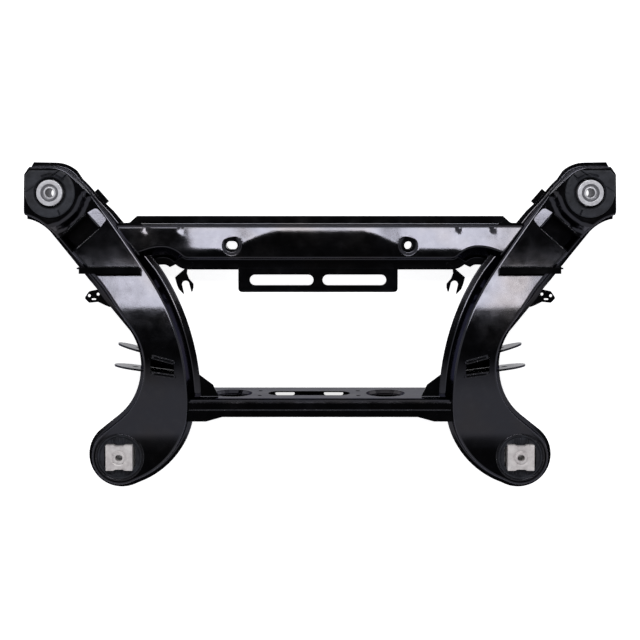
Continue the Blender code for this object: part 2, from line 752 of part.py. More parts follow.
def make_front_bush():
    """A bonded bush: a steel tube in the pad, flanged rubber over it, and a stepped sleeve through it."""
    x, y, top = FRONT_BUSH_X, FRONT_BUSH_Y, PAD_Z
    low = top - FRONT_TUBE_DROP
    tube = pipe("front_bush_tube_R", FRONT_TUBE_R, FRONT_TUBE_WALL, low, top, x, y)
    seat = top + WELD_GAP
    body = FRONT_TUBE_R - FRONT_TUBE_WALL - WELD_GAP
    bore = SLEEVE_R + WELD_GAP
    moat = top - RUBBER_MOAT_DEPTH
    crown = seat + RUBBER_FLANGE_T
    edge = BUSH_EDGE
    rubber = turned("front_bush_rubber_R", (
        (bore, low + edge), (body, low + edge), (body, crown), (RUBBER_MOAT_R, crown),
        (RUBBER_MOAT_R - edge, moat), (bore, moat)), x, y, finish=RUBBER)
    join(rubber, prism("rubber_flange", rubber_flange_outline(), seat, crown,
                       (circle(x, y, body - RUBBER_FLANGE_IN),), RUBBER))
    head = top + SLEEVE_PROUD
    foot = head - SLEEVE_DROP
    dish = head - SLEEVE_DISH_DEPTH
    sleeve = turned("front_bush_sleeve_R", (
        (SLEEVE_BORE_R, foot), (SLEEVE_R, foot), (SLEEVE_R, head - edge / 2), (SLEEVE_R - edge / 2, head),
        (SLEEVE_DISH_R, head), (SLEEVE_NOSE_R + edge, dish), (SLEEVE_NOSE_R, dish + edge),
        (SLEEVE_BORE_R, dish + edge)), x, y, finish=ZINC)
    return tube, rubber, sleeve


def rubber_flange_outline():
    """A disc that is cut straight at the pad's front edge and fills the pad's outer front corner."""
    start = math.pi - math.asin(RUBBER_TOP / RUBBER_FLANGE_R)
    turn = np.linspace(start, 2 * math.pi, STEPS)
    disc = RUBBER_FLANGE_R * np.column_stack((np.cos(turn), np.sin(turn)))
    corner = ((RUBBER_FLANGE_R, RUBBER_CHAMFER[1]), (RUBBER_CHAMFER[0], RUBBER_TOP))
    return np.vstack((disc, corner)) + (FRONT_BUSH_X, FRONT_BUSH_Y)


def pipe(name, radius, wall, low, high, x, y):
    inner = radius - wall
    return turned(name, ((inner, low), (radius, low), (radius, high), (inner, high)), x, y)


def core_outline(clearance):
    """The plan of the rear bush's core: a square block whose front and rear edges dip in the middle."""
    half, reach = CORE_WIDTH / 2 + clearance, CORE_LENGTH / 2 + clearance
    dip = reach - CORE_NOTCH
    quarter = ((half, reach), (0.45 * half, reach), (0.28 * half, dip))
    front = quarter + tuple((-px, py) for px, py in reversed(quarter))
    return np.array([(REAR_BUSH_X + px, REAR_BUSH_Y + py) for px, py in front]
                    + [(REAR_BUSH_X - px, REAR_BUSH_Y - py) for px, py in front])


def make_rear_bush():
    """A bonded bush: a steel tube in the boss, rubber with two side voids, and a cast block with a bore."""
    x, y = REAR_BUSH_X, REAR_BUSH_Y
    rim = BOSS_Z + REAR_TUBE_PROUD
    low = rim - REAR_TUBE_LENGTH
    tube = pipe("rear_bush_tube_R", REAR_TUBE_R, REAR_TUBE_WALL, low, rim, x, y)
    body = circle(x, y, REAR_TUBE_R - REAR_TUBE_WALL - WELD_GAP)
    rubber = prism("rear_bush_rubber_R", body, low + REAR_RUBBER_SINK, rim - REAR_RUBBER_SINK,
                   (core_outline(WELD_GAP),), RUBBER)
    head = rim + CORE_PROUD
    bore = circle(x, y, CORE_BORE_R)
    block = prism("rear_bush_core_R", core_outline(0.0), low + CORE_DROP, head, (bore,), CAST_ALLOY)
    join(block, pipe("core_ring", CORE_RING_R, CORE_RING_R - CORE_BORE_R, rim, head + CORE_RING_RISE, x, y))
    voids = []
    for side in (-1, 1):
        centre = x + side * (CORE_WIDTH / 2 + VOID_WIDTH / 2)
        half, reach = VOID_WIDTH / 2 + WELD_GAP, VOID_LENGTH / 2
        outline = ((centre - half, y - reach), (centre + half, y - reach),
                   (centre + half, y + reach), (centre - half, y + reach))
        voids.append(prism(f"rubber_void_{side}", outline, low, rim))
    cut(rubber, *voids)
    return tube, rubber, block


# Link brackets on the arms

def make_upper_bracket():
    """The folded box that the upper link bolts into: two cheeks, a deep floor and a sloped inner shelf."""
    frame = pocket_frame() @ Matrix.Rotation(math.pi / 2, 4, "X")
    half = UPPER_POCKET_WIDTH / 2 - WELD_GAP
    top, floor = RECESS_Z + PLATE_PROUD / 2, RECESS_Z - POCKET_DEPTH
    out, neck, end = UPPER_POCKET_OUT - 0.006, -UPPER_POCKET_IN, -UPPER_SHELF_IN + WELD_GAP
    shelf = top - 0.007
    sheet = POCKET_SHEET
    side = ((out - 0.008, floor), (out, RECESS_Z - POCKET_WINDOW_Z * 0.7), (out, top), (neck + 0.006, top),
            (neck, floor + 0.040), (neck + 0.008, floor))
    box = prism("upper_link_bracket_R", side, -half - sheet, half + sheet, frame=frame)
    room = ((out + sheet, floor + sheet), (out + sheet, top + sheet), (neck + 0.002, top + sheet),
            (neck + sheet, floor + 0.040), (neck + 0.008 + sheet, floor + sheet))
    hollow = prism("bracket_room", room, -half + sheet, half - sheet, frame=frame)
    ramp = ((neck + sheet, shelf - 0.016), (neck + sheet, shelf - 0.010), (neck - 0.001, shelf - 0.005),
            (end, shelf), (end, shelf - sheet), (neck - 0.002, shelf - 0.005 - sheet))
    ledge = prism("bracket_ledge", ramp, -half - sheet, half + sheet, frame=frame)
    plan = prism("bracket_plan", pocket_outline(0.0), floor - sheet, top + sheet, frame=pocket_frame())
    bolt = circle(0.012, floor + 0.030, LINK_BOLT_R, 14)
    across = prism("bracket_bolt_hole", bolt, -half - 2 * sheet, half + 2 * sheet, frame=frame)
    cut(box, hollow)
    join(box, ledge)
    boolean(box, plan, "INTERSECT")
    return cut(box, across)


def make_stop_plate(envelope):
    """An upright plate across the arm, with a lip folded back along its top."""
    top = height_at(arm_top, STOP_INNER_X, STOP_Y) + STOP_RISE
    low = height_at(arm_foot, STOP_OUTER_X, STOP_Y)
    web = ((STOP_INNER_X, low), (STOP_OUTER_X, low), (STOP_OUTER_X, top), (STOP_INNER_X, top))
    frame = upright((0.0, STOP_Y), (1.0, 0.0))
    plate = prism("stop_plate_R", web, 0.0, STOP_SHEET, frame=frame)
    lip = prism("stop_lip", ((STOP_INNER_X, top - STOP_SHEET), (STOP_OUTER_X - 0.004, top - STOP_SHEET),
                             (STOP_OUTER_X - 0.004, top), (STOP_INNER_X, top)), 0.0, STOP_LIP, frame=frame)
    join(plate, lip)
    return cut(plate, envelope)


def make_clip(envelope):
    """A thin plate for the brake line, with two round holes and an oval one."""
    outline = rounded(CLIP_CORNERS, 1.0)
    holes = [circle(*spot, CLIP_HOLE_R, 10) for spot in CLIP_HOLES]
    holes.append(slot(*CLIP_SLOT, CLIP_HOLE_R, CLIP_HOLE_R / 2, 8))
    return cut(prism("line_clip_R", outline, CLIP_Z, CLIP_Z + CLIP_SHEET, holes), envelope)


def make_pad_tab(envelope):
    """A small plate under the pad's flange, with its outer end in sight."""
    top = height_at(arm_seam, *TAB_ENDS[0]) - TAB_SEAT
    (x1, y1), (x2, y2) = TAB_ENDS
    length = math.hypot(x2 - x1, y2 - y1)
    across = ((y2 - y1) / length, (x1 - x2) / length)
    outline = [(x + across[0] * reach, y + across[1] * reach)
               for (x, y), reach in zip((*TAB_ENDS, *TAB_ENDS[::-1]), (TAB_OUT, TAB_OUT, -TAB_IN, -TAB_IN))]
    return cut(prism("pad_tab_R", outline, top - TAB_SHEET, top), envelope)


# Front crossmember

def front_corners(side_flange, heel_flange):
    """The upper and the lower pressing share one plan; only the rear flange's width differs."""
    right = ((FRONT_HALF, FRONT_END_Y, FRONT_CORNER_R, side_flange, WAIST_WALL),
             (FRONT_HALF - FRONT_BEND_IN, FRONT_WAIST_Y, FRONT_BEND_R, side_flange, WAIST_WALL),
             (FRONT_HALF - FRONT_WAIST_IN, FRONT_WAIST_Y, FRONT_WAIST_R, side_flange, WAIST_WALL),
             (FRONT_HEEL_X, FRONT_REAR_Y, FRONT_HEEL_R, heel_flange, HEEL_WALL))
    front = ((FRONT_HALF, FRONT_CREST_Y, FRONT_CORNER_R, FRONT_END_FLANGE, FRONT_WALL),
             (FRONT_HALF - FRONT_TRIM_IN, FRONT_CREST_Y, 0.0, FRONT_END_FLANGE, FRONT_WALL),
             (FRONT_HALF - FRONT_TRIM_END, FRONT_CREST_Y, 0.0, FRONT_FLANGE, FRONT_WALL))
    front += tuple((-x, *rest) for x, *rest in front[::-1])
    left = tuple((-x, *rest) for x, *rest in right)
    return (*front, *left, *right[::-1])


def bolt_share(places):
    """1 on the floor of a bolt's dish, 0 outside it."""
    off = np.hypot(np.abs(places[:, 0]) - BOLT_X, places[:, 1] - BOLT_Y)
    return smooth_step((BOLT_DISH_R - off) / (BOLT_DISH_R - BOLT_FLOOR_R))


def ridge_y(x):
    """Where the level part of the top ends and the part that falls away to the front begins."""
    return RIDGE_Y + RIDGE_BULGE * smooth_step((RIDGE_END_X - np.abs(x)) / RIDGE_WAY)


def front_top(places):
    share = bolt_share(places)
    fall = FRONT_TILT * np.maximum(places[:, 1] - ridge_y(places[:, 0]), 0.0)
    return FRONT_TOP_Z - BOLT_DISH_DEPTH * share - fall * (1.0 - share)


def front_seam(places):
    return np.full(len(places), FRONT_SEAM_Z)


def front_under(places):
    return front_seam(places) - 2 * FRONT_SHEET - WELD_GAP


def front_bottom(places):
    return np.full(len(places), FRONT_BOTTOM_Z)


def bolt_holes(clearance):
    return [slot(side * BOLT_X, BOLT_Y, BOLT_SLOT[hand], BOLT_HOLE_R[hand] + clearance)
            for hand, side in (("L", -1), ("R", 1))]


def make_front_crossmember(envelopes):
    rings = [circle(side * BOLT_X, BOLT_Y, radius, 16)
             for side in (-1, 1) for radius in (BOLT_DISH_R, BOLT_FLOOR_R)]
    upper = pressed_skin(front_corners(UPPER_SIDE_FLANGE, UPPER_HEEL_FLANGE), front_top, front_seam,
                         bolt_holes(0.0), (*rings, ridge_spots()), FRONT_SPREAD)
    lower = pressed_skin(front_corners(LOWER_SIDE_FLANGE, LOWER_HEEL_FLANGE), front_bottom, front_under,
                         bolt_holes(BOLT_HOLE_EXTRA), (), FRONT_SPREAD, PLAIN_PROFILE)
    cover = thicken("front_crossmember_upper", upper, FRONT_SHEET)
    pan = thicken("front_crossmember_lower", lower, -FRONT_SHEET)
    cut(cover, *envelopes)
    cut(pan, *envelopes)
    tubes = []
    low = FRONT_BOTTOM_Z + FRONT_SHEET + WELD_GAP
    high = FRONT_TOP_Z - BOLT_DISH_DEPTH - FRONT_SHEET - WELD_GAP
    for hand, side in (("L", -1), ("R", 1)):
        tubes.append(pipe(f"front_mount_tube_{hand}", BOLT_TUBE_R, BOLT_TUBE_WALL, low, high, side * BOLT_X,
                          BOLT_Y))
    return cover, pan, tubes


def ridge_spots():
    """Points along the ridge that are clear of the bolts' dishes, so that the crease is drawn there."""
    x = np.linspace(-FRONT_HEEL_X, FRONT_HEEL_X, 17)
    spots = np.column_stack((x, ridge_y(x)))
    return spots[np.hypot(np.abs(x) - BOLT_X, spots[:, 1] - BOLT_Y) > BOLT_DISH_R * 1.2]


def front_wall_y(height):
    """Where the crossmember's front wall stands at a height, towards its ends."""
    rises = [rise for _, rise in WALL_PROFILE]
    shares = [share for share, _ in WALL_PROFILE]
    crest = height_at(front_top, FRONT_HALF, FRONT_CREST_Y)
    share = np.interp((height - FRONT_SEAM_Z) / (crest - FRONT_SEAM_Z), rises, shares)
    return FRONT_CREST_Y + FRONT_WALL * (1.0 - share)


def make_junction_plate(envelope):
    """A small web in the corner between the crossmember's front wall and the arm."""
    back = front_wall_y(JUNCTION_Z - JUNCTION_SHEET) + FISH_GAP
    inner, peak, step = (FRONT_HALF - span for span in JUNCTION_SPAN)
    reach = back + JUNCTION_REACH
    outline = ((inner, back), (FRONT_HALF, back), (FRONT_HALF, reach), (step, reach),
               (peak, back + JUNCTION_PEAK))
    return cut(prism("junction_plate_R", outline, JUNCTION_Z - JUNCTION_SHEET, JUNCTION_Z), envelope)


def make_ladder():
    """A sheet with two long slots and a lip along each long edge, laid on the crossmember's rear flange."""
    low = FRONT_SEAM_Z - FRONT_SHEET
    x1, x2 = LADDER_CENTRE_X - LADDER_HALF, LADDER_CENTRE_X + LADDER_HALF
    y1, y2 = LADDER_REAR_Y, LADDER_REAR_Y + LADDER_DEPTH
    middle = (y1 + y2) / 2 + LADDER_SLOT_SHIFT
    outline = rounded(((x1, y1, 0.007), (x2, y1, 0.007), (x2, y2, 0.002), (x1, y2, 0.002)), 1.0)
    half = LADDER_SLOT - LADDER_SLOT_R
    slots = [slot(LADDER_CENTRE_X + side * LADDER_SLOT_X, middle, half, LADDER_SLOT_R, 16)
             for side in (-1, 1)]
    sheet = prism("ladder_bracket", outline, low, low + LADDER_SHEET, slots)
    left, right = x1 + LADDER_LIP_IN, x2 - LADDER_LIP_IN
    for end, y in (("rear", y1), ("front", y2 - LADDER_SHEET)):
        strip = ((left, y), (right, y), (right, y + LADDER_SHEET), (left, y + LADDER_SHEET))
        join(sheet, prism("ladder_lip_" + end, strip, low, low + LADDER_LIP))
    return sheet


def make_fork():
    """A flat fork that holds a cable, on a short stem laid on the crossmember's rear flange."""
    low = FRONT_SEAM_Z - FRONT_SHEET
    turn = np.linspace(math.pi, 0.0, 9)
    notch = [(0.0001 + FORK_SLOT_R * math.cos(t), -0.030 + FORK_SLOT_R * math.sin(t)) for t in turn]
    outline = [(-0.0142, 0.0134), (0.0013, 0.0018), (0.0216, -0.0158), (0.0184, -0.0288), (0.0144, -0.0394),
               (0.0045, -0.0498), (0.0036, -0.0475)]
    outline += [(x, y) for x, y in notch[::-1]]
    outline += [(-0.0110, -0.0446), (-0.0132, -0.0450), (-0.0156, -0.0366), (-0.0156, -0.0288),
                (-0.0064, -0.0184), (-0.0026, -0.0080), (-0.0034, -0.0004), (-0.0168, 0.0098)]
    return prism("cable_fork_R", [(FORK_X + x, FORK_Y + y) for x, y in outline], low, low + FORK_SHEET)


# Rear crossmember

def rear_face_y(height):
    """The crossmember's front face leans back towards its top."""
    return REAR_FRONT_Y - height * math.tan(REAR_LEAN)


def across_x():
    """A frame whose X is world Y, whose Y is world Z and whose Z is world X."""
    return Matrix(((0, 0, 1, 0), (1, 0, 0, 0), (0, 1, 0, 0), (0, 0, 0, 1)))


def through_rear(name, outline, y1=REAR_FRONT_Y - 0.076, y2=REAR_FRONT_Y + 0.024, holes=()):
    """A prism with its outline in X and Z, from y1 to y2."""
    frame = Matrix(((1, 0, 0, 0), (0, 0, -1, 0), (0, 1, 0, 0), (0, 0, 0, 1)))
    return prism(name, outline, -y2, -y1, holes, frame=frame)


def make_rear_crossmember(envelopes):
    sheet, top = REAR_SHEET, REAR_HEIGHT
    ends = rear_face_y(top) - REAR_RETURN
    inner = rear_face_y(0.0) - sheet
    bend = REAR_BEND
    channel = rounded(((ends, 0.0, 0.0), (rear_face_y(0.0), 0.0, bend), (rear_face_y(top), top, bend),
                       (ends, top, 0.0), (ends, top - sheet, 0.0),
                       (rear_face_y(top) - sheet, top - sheet, bend - sheet),
                       (inner, sheet, bend - sheet), (ends, sheet, 0.0)), 1.0)
    front = prism("rear_crossmember_shell", channel, -REAR_HALF, REAR_HALF, frame=across_x())
    lip_low, lip_high = sheet + WELD_GAP, top - sheet - WELD_GAP
    plate = ends + REAR_LAP
    out = ends - BACK_LIP - BACK_FLARE
    curl = BACK_BEND
    section = rounded(((out, lip_low, 0.0), (plate, lip_low, curl), (plate, lip_high, curl),
                       (out, lip_high, 0.0), (out, lip_high - sheet, 0.0),
                       (plate - sheet, lip_high - sheet, curl - sheet),
                       (plate - sheet, lip_low + sheet, curl - sheet), (out, lip_low + sheet, 0.0)), 1.0)
    back = prism("rear_crossmember_back", section, -REAR_HALF, REAR_HALF, frame=across_x())
    waist = ((-FLARE_END, out - sheet), (FLARE_END, out - sheet), (FLARE_START, ends - BACK_LIP),
             (-FLARE_START, ends - BACK_LIP))
    cut(back, prism("lip_trim", waist, -top, 2 * top))
    collars = []
    lean = Matrix.Translation((0.0, REAR_FRONT_Y, 0.0)) @ Matrix.Rotation(math.pi / 2 + REAR_LEAN, 4, "X")
    for hand, side in (("L", -1), ("R", 1)):
        x = OFFSET_X + side * DISH_X
        depth = rear_face_y(DISH_Z) - DISH_DEPTH
        mouth = circle(x, DISH_Z / math.cos(REAR_LEAN), DISH_R)
        cut(front, prism(f"dish_mouth_{hand}", mouth, -sheet, 2 * sheet, frame=lean))
        join(front, dish_ring(f"dish_{hand}", x, lean))
        for thing in (front, back):
            hole = circle(x, DISH_Z, DISH_HOLE_R)
            cut(thing, through_rear(f"collar_hole_{hand}_{thing.name}", hole))
        outer = circle(x, DISH_Z, DISH_HOLE_R - WELD_GAP)
        bore = circle(x, DISH_Z, DISH_HOLE_R - WELD_GAP - COLLAR_WALL)
        collars.append(through_rear(f"rear_collar_{hand}", outer, plate - sheet - COLLAR_PROUD,
                                    depth + COLLAR_PROUD, (bore,)))
        for pin in (-PIN_HOLE_RISE, PIN_HOLE_RISE):
            spot = circle(OFFSET_X + side * PIN_HOLE_X, DISH_Z + pin, PIN_HOLE_R, 10)
            cut(front, through_rear(f"pin_hole_{hand}_{pin}", spot, y1=plate + WELD_GAP))
        drain = slot(OFFSET_X + side * DRAIN_X, (ends + inner) / 2 + 0.004, DRAIN_LENGTH / 2, 0.004, 8)
        cut(front, prism(f"drain_{hand}", drain, -0.002, sheet * 2))
    window = slot(OFFSET_X, DISH_Z, SLOT_HALF - SLOT_HEIGHT / 2, SLOT_HEIGHT / 2, 16)
    cut(front, through_rear("window_front", window))
    cut(back, through_rear("window_back", window))
    for hand, side in (("L", -1), ("R", 1)):
        corner = [(side * x, z) for x, z in REAR_END_TRIM]
        for thing in (front, back):
            cut(thing, through_rear(f"end_trim_{hand}_{thing.name}", corner))
    cut(front, *envelopes)
    cut(back, *envelopes)
    return front, back, collars


def dish_ring(name, x, lean):
    """The stepped rim of a dished hole, turned about the face's normal, with its edge inside the sheet."""
    y = DISH_Z / math.cos(REAR_LEAN)
    sheet, deep, sink, bite = REAR_SHEET, DISH_DEPTH, REAR_SHEET / 4, REAR_SHEET / 2
    inner, floor = DISH_HOLE_R - bite, DISH_R - DISH_SLOPE
    profile = ((inner, deep), (floor, deep), (DISH_R - sink, sink), (DISH_R + bite, sink),
               (DISH_R + bite, sheet - sink), (floor + bite, deep + sheet), (inner, deep + sheet))
    ring = turned(name, profile, x, y)
    ring.data.transform(lean)
    return ring


def make_gusset(envelope):
    """A small web between the arm and the rear crossmember's face."""
    back = rear_face_y(GUSSET_Z - GUSSET_SHEET) + FISH_GAP
    (peak, reach), (knee, low) = GUSSET_CREST
    outline = ((GUSSET_INNER_X, back), (GUSSET_OUTER_X, back), (GUSSET_OUTER_X, REAR_FRONT_Y + reach),
               (REAR_HALF - peak, REAR_FRONT_Y + reach), (REAR_HALF - knee, REAR_FRONT_Y + low))
    return cut(prism("gusset_R", outline, GUSSET_Z - GUSSET_SHEET, GUSSET_Z), envelope)


clear_scene()
arm_shell, arm_pan, envelope_right = make_arms()
rights = [arm_shell, arm_pan, *make_front_bush(), *make_rear_bush(), make_upper_bracket()]
rights += [lower_plate(f"lower_link_plate_{which}_R", which) for which in LOWER_PLATES]
rights += [make_stop_plate(envelope_right), make_clip(envelope_right), make_pad_tab(envelope_right)]
rights += [make_junction_plate(envelope_right), make_fork(), make_gusset(envelope_right)]
for piece in rights:
    mirrored(piece, piece.name[:-1] + "L")
envelope_pair = (envelope_right, mirrored(envelope_right, "arm_envelope_L"))
make_front_crossmember(envelope_pair)
make_ladder()
make_rear_crossmember(envelope_pair)
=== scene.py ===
"""Looks of the rear subframe: finer pressings, weld beads, rubber, finishes, light and camera.

Frame: metres, +X to the right, +Y to the front of the car, +Z up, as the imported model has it.
"""

import math

import bmesh
import bpy
import numpy as np
from mathutils import Matrix, Vector
from mathutils.geometry import delaunay_2d_cdt


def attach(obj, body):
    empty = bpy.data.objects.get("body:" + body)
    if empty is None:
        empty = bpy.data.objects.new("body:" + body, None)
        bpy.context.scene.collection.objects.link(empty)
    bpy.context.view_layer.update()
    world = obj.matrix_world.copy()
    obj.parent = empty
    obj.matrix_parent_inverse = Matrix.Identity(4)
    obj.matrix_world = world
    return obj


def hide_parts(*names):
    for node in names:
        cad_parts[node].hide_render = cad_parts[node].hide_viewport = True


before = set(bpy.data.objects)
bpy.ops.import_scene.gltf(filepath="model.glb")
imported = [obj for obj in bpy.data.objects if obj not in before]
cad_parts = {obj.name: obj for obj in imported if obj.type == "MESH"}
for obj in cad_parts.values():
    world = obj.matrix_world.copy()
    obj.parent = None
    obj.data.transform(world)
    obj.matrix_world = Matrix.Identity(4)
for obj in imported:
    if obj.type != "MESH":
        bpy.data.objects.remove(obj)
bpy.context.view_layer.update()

# Camera and stage
CAMERA_PLACE = (0.0, 0.260, 3.900)
CAMERA_AIM = (0.0, 0.010, 0.100)
CAMERA_LENS = 106.9
FLOOR_HALF = 12.0
FLOOR_LEVEL = 0.80
BOX_PLACE = (0.0, 1.25, 2.85)
BOX_AIM = (0.0, 0.05, 0.15)
BOX_SIZE = (1.6, 0.62)
BOX_LEVEL = 15.0
SKY_TINT = (0.95, 0.96, 1.0, 1.0)
SKY_STEP = {"From Min": 0.84, "From Max": 0.975, "To Min": 0.70, "To Max": 0.03}

# Fineness of the pressings
PITCH = 0.010
TURN = math.radians(6)
STEPS = 96
SHORTEST_EDGE = 0.0002
TOP_FILLET = 0.0055
FOOT_FILLET = 0.0030
TOP_ROWS = 9
FOOT_ROWS = 5
TOP_SHARE = 0.55
FOOT_SHARE = 0.30
LEAST_SLOPE = math.radians(8)
HALVINGS = 40
FLANGE_HOLD = 0.06
FACE_HOLD = 0.0007
SHARP_ANGLE = math.radians(34)
PRESSED_SHARP = math.radians(60)
EDGE_ROUND = 0.0005
PROFILE_TURN = math.radians(18)
PROFILE_R = 0.0008
ARM_PITCH = 0.005
CREST_PITCH = 0.0035
FACE_PITCH = 0.6 * PITCH
RUBBER_PITCH = 0.0013
WIDE_PITCH = 10.0
RIM_CLEAR = 0.45
MERGE_REACH = 0.00001
NORMAL_WEIGHT = 50

# Weld beads: radii, ripple and clearances
BEAD_R = {"joint": 0.0019, "stop": 0.0016, "link": 0.0015, "pocket": 0.0013, "tube": 0.0012,
          "rear": 0.0018, "seam": 0.0015}
BEAD_PITCH = 0.0009
BEAD_RIPPLE = 0.0042
BEAD_SIDES = 10
BEAD_LOW = 0.80
BEAD_SWELL = 0.28
BEAD_SCATTER = 0.06
BEAD_TAPER = 1.5
BEAD_TIP = 0.03
BEAD_RISE = 0.0003
BEAD_OUT = {"wall": 0.0006, "stop": 0.0009, "link": 0.0008, "pocket": 0.0006, "tube": 0.0007}
JOINT_RISE = 0.0004
SEAM_RISE = 0.0002
STOP_BEAD_IN = (0.008, 0.004)
JOINT_SPAN = (0.132, 0.196)
JOINT_DROP = 0.004
REAR_SPAN = (-0.160, -0.140)
LINK_SPAN = (0.004, 0.050)
POCKET_SPAN = (-0.034, 0.026)
SEAM_HALF = 0.262

WELD_GAP = 0.0003

# Arms, as in the part's source
ARM_SHEET = 0.0028
ARM_RISE = 0.040
ARM_FLOOR = ((0.340, 0.056), (0.200, 0.052), (0.115, 0.054), (0.030, 0.060),
             (-0.050, 0.064), (-0.125, 0.061), (-0.200, 0.053), (-0.262, 0.050), (-0.340, 0.050))
ARM_FOOT = ((0.340, 0.098), (0.260, 0.098), (0.210, 0.098), (0.115, 0.106), (0.030, 0.125),
            (-0.050, 0.132), (-0.125, 0.121), (-0.180, 0.106), (-0.214, 0.095), (-0.242, 0.0915),
            (-0.290, 0.0915), (-0.340, 0.0915))
LOWER_FLANGE_EXTRA = 0.0015
INNER_X = 0.2675
WAIST_X = 0.3441
WAIST_LENGTH = 0.1106
FRONT_BUSH = (0.530, 0.264)
PAD_RISE = 0.020
PAD_RIM = 0.055
PAD_FALL = 0.020
PAD_INNER_FLARE = 0.016
PAD_INNER_ANGLE = math.radians(10)
PAD_INNER_WAY = math.radians(15)
PAD_OUTER_FLARE = 0.006
PAD_OUTER_ANGLE = math.radians(50)
PAD_OUTER_WAY = math.radians(40)
FRONT_TUBE_R = 0.0415
FRONT_TUBE_DROP = 0.074
FRONT_TUBE_WALL = 0.0022
RUBBER_FLANGE_R = 0.0485
RUBBER_FLANGE_T = 0.007
RUBBER_TOP = 0.044
RUBBER_CHAMFER = (0.0400, 0.0345)
RUBBER_MOAT_R = 0.0310
RUBBER_MOAT_DEPTH = 0.014
SLEEVE_R = 0.0255
SLEEVE_PROUD = 0.015
SLEEVE_DISH_R = 0.0176
SLEEVE_NOSE_R = 0.0118
SLEEVE_BORE_R = 0.0088
SLEEVE_DISH_DEPTH = 0.006
SLEEVE_DROP = 0.094
REAR_BUSH = (0.400, -0.262)
BOSS_FACE_R = 0.0515
REAR_TUBE_R = 0.0470
REAR_TUBE_WALL = 0.0024
REAR_TUBE_PROUD = 0.004
REAR_TUBE_LENGTH = 0.084
CORE_WIDTH = 0.0530
CORE_LENGTH = 0.0510
CORE_NOTCH = 0.0022
CORE_PROUD = 0.013
CORE_DROP = 0.005
CORE_RING_R = 0.0116
CORE_RING_RISE = 0.0016
CORE_BORE_R = 0.0072
VOID_WIDTH = 0.0045
VOID_LENGTH = 0.040
REAR_RUBBER_SINK = 0.006

GROOVE_R = 0.0358
GROOVE_HALF = 0.0016
GROOVE_DEPTH = 0.0034
GROOVE_ARC = (math.radians(44), math.radians(117))
SLIT_ANGLES = (math.radians(48), math.radians(-66))
SLIT_SPAN = (0.0370, 0.0475)
SLIT_HALF = 0.0011
SLIT_DEPTH = 0.0030
SECTOR_SINK = 0.0006
PIP_ANGLES = (math.radians(23), math.radians(1), math.radians(-22))
PIP_PLACE = 0.0432
PIP_SPREAD = 0.0012
PIP_RISE = 0.0012
FLANGE_ROLL = 0.0020
ROLL_SHARE = 0.96
NUB_R = 0.0278
NUB_ANGLES = (math.radians(164), math.radians(203))
RIB_WAY = 0.0072
RIB_RISE = 0.0022
RIB_END = 0.0185
RIB_SHARE = 0.35
RIB_SOFT = 0.5
RIB_FADE = {"core": 0.002, "end": 0.003, "rim": 0.0015}
RUBBER_RIM_R = 0.0392
RUBBER_RIM_RISE = 0.0040
RUBBER_RIM_WAY = 0.0022
CORE_RING_WAY = 0.0016
CORE_MOAT = 0.0012
CORE_MOAT_OUT = 0.0022
CORE_MOAT_HALF = 0.0012
CORE_BORE_HALF = 0.0012
CORE_PITCH = 0.0014
CORE_EDGE = 0.0009
CORE_SHARP = math.radians(50)

# Link pockets and plates
UPPER_POCKET = (0.4753, 0.1858)
UPPER_POCKET_TURN = math.radians(-41.8)
UPPER_POCKET_WIDTH = 0.0386
UPPER_POCKET_OUT = 0.0400
UPPER_POCKET_IN = 0.0370
UPPER_SHELF_IN = 0.0590
UPPER_SHELF_WIDTH = 0.0310
POCKET_WINDOW_Z = 0.034
SHELF_DROP = 0.017
SHELF_RISE = 0.0025
SHELF_FALL = 0.005
SHELF_START = -0.04
LOWER_PLATES = {"front": ((0.284, -0.0705), (0.405, -0.0370)),
                "rear": ((0.284, -0.0980), (0.413, -0.0800))}
LINK_SHEET = 0.0040
EAR_R = 0.043
EAR_Z = 0.096
PLATE_PROUD = 0.003
LINK_ROOT = 0.050
LINK_BRIDGE = 0.010
LINK_POST = 0.006
LINK_SIDE_OUT = 0.030
LINK_SIDE_HALF = 0.022
STOP_Y = 0.117

# Front crossmember
FRONT_SHEET = 0.0025
FRONT_TOP_Z = 0.124
FRONT_SEAM_Z = 0.088
FRONT_BOTTOM_Z = 0.058
FRONT_END_IN = 0.110
FRONT_HALF = FRONT_BUSH[0] - FRONT_END_IN
FRONT_CREST_Y = 0.194
UPPER_FLANGES = (0.0080, 0.0050)
LOWER_FLANGES = (0.0135, 0.0195)
FRONT_TILT = 0.20
LEFT_TILT = 0.08
LEFT_TILT_X = -0.235
LEFT_TILT_WAY = 0.055
RIDGE_Y = 0.150
RIDGE_BULGE = 0.036
RIDGE_END_X = 0.200
RIDGE_WAY = 0.120
CREST_DENTS = (0.277, 0.347)
DENT_DEPTH = 0.0022
DENT_HALF = 0.0042
DENT_REACH = 0.012
RIDGE_SOFT = 0.002
BOLT_X = 0.1755
BOLT_Y = 0.160
BOLT_DISH_R = 0.0205
BOLT_FLOOR_R = 0.0140
BOLT_DISH_DEPTH = 0.0045
BOLT_HOLES = {-1: (0.0032, 0.0082), 1: (0.0002, 0.0078)}
BOLT_HOLE_EXTRA = 0.0010

# Rear crossmember
REAR_FRONT_Y = -0.134
REAR_LEAN = 0.080
REAR_HEIGHT = 0.138
REAR_RETURN = 0.022


# Mesh tools

def linked(name, data):
    """A new object in the scene for the data given."""
    made = bpy.data.objects.new(name, data)
    bpy.context.scene.collection.objects.link(made)
    return made


def add(name, points, faces, finish=None):
    """A mesh object from points and faces, with its faces turned outwards."""
    mesh = bpy.data.meshes.new(name)
    mesh.from_pydata([tuple(p) for p in points], [], [tuple(f) for f in faces])
    work = bmesh.new()
    work.from_mesh(mesh)
    bmesh.ops.recalc_face_normals(work, faces=work.faces)
    work.to_mesh(mesh)
    work.free()
    shade(mesh)
    if finish:
        mesh.materials.append(finish)
    return linked(name, mesh)


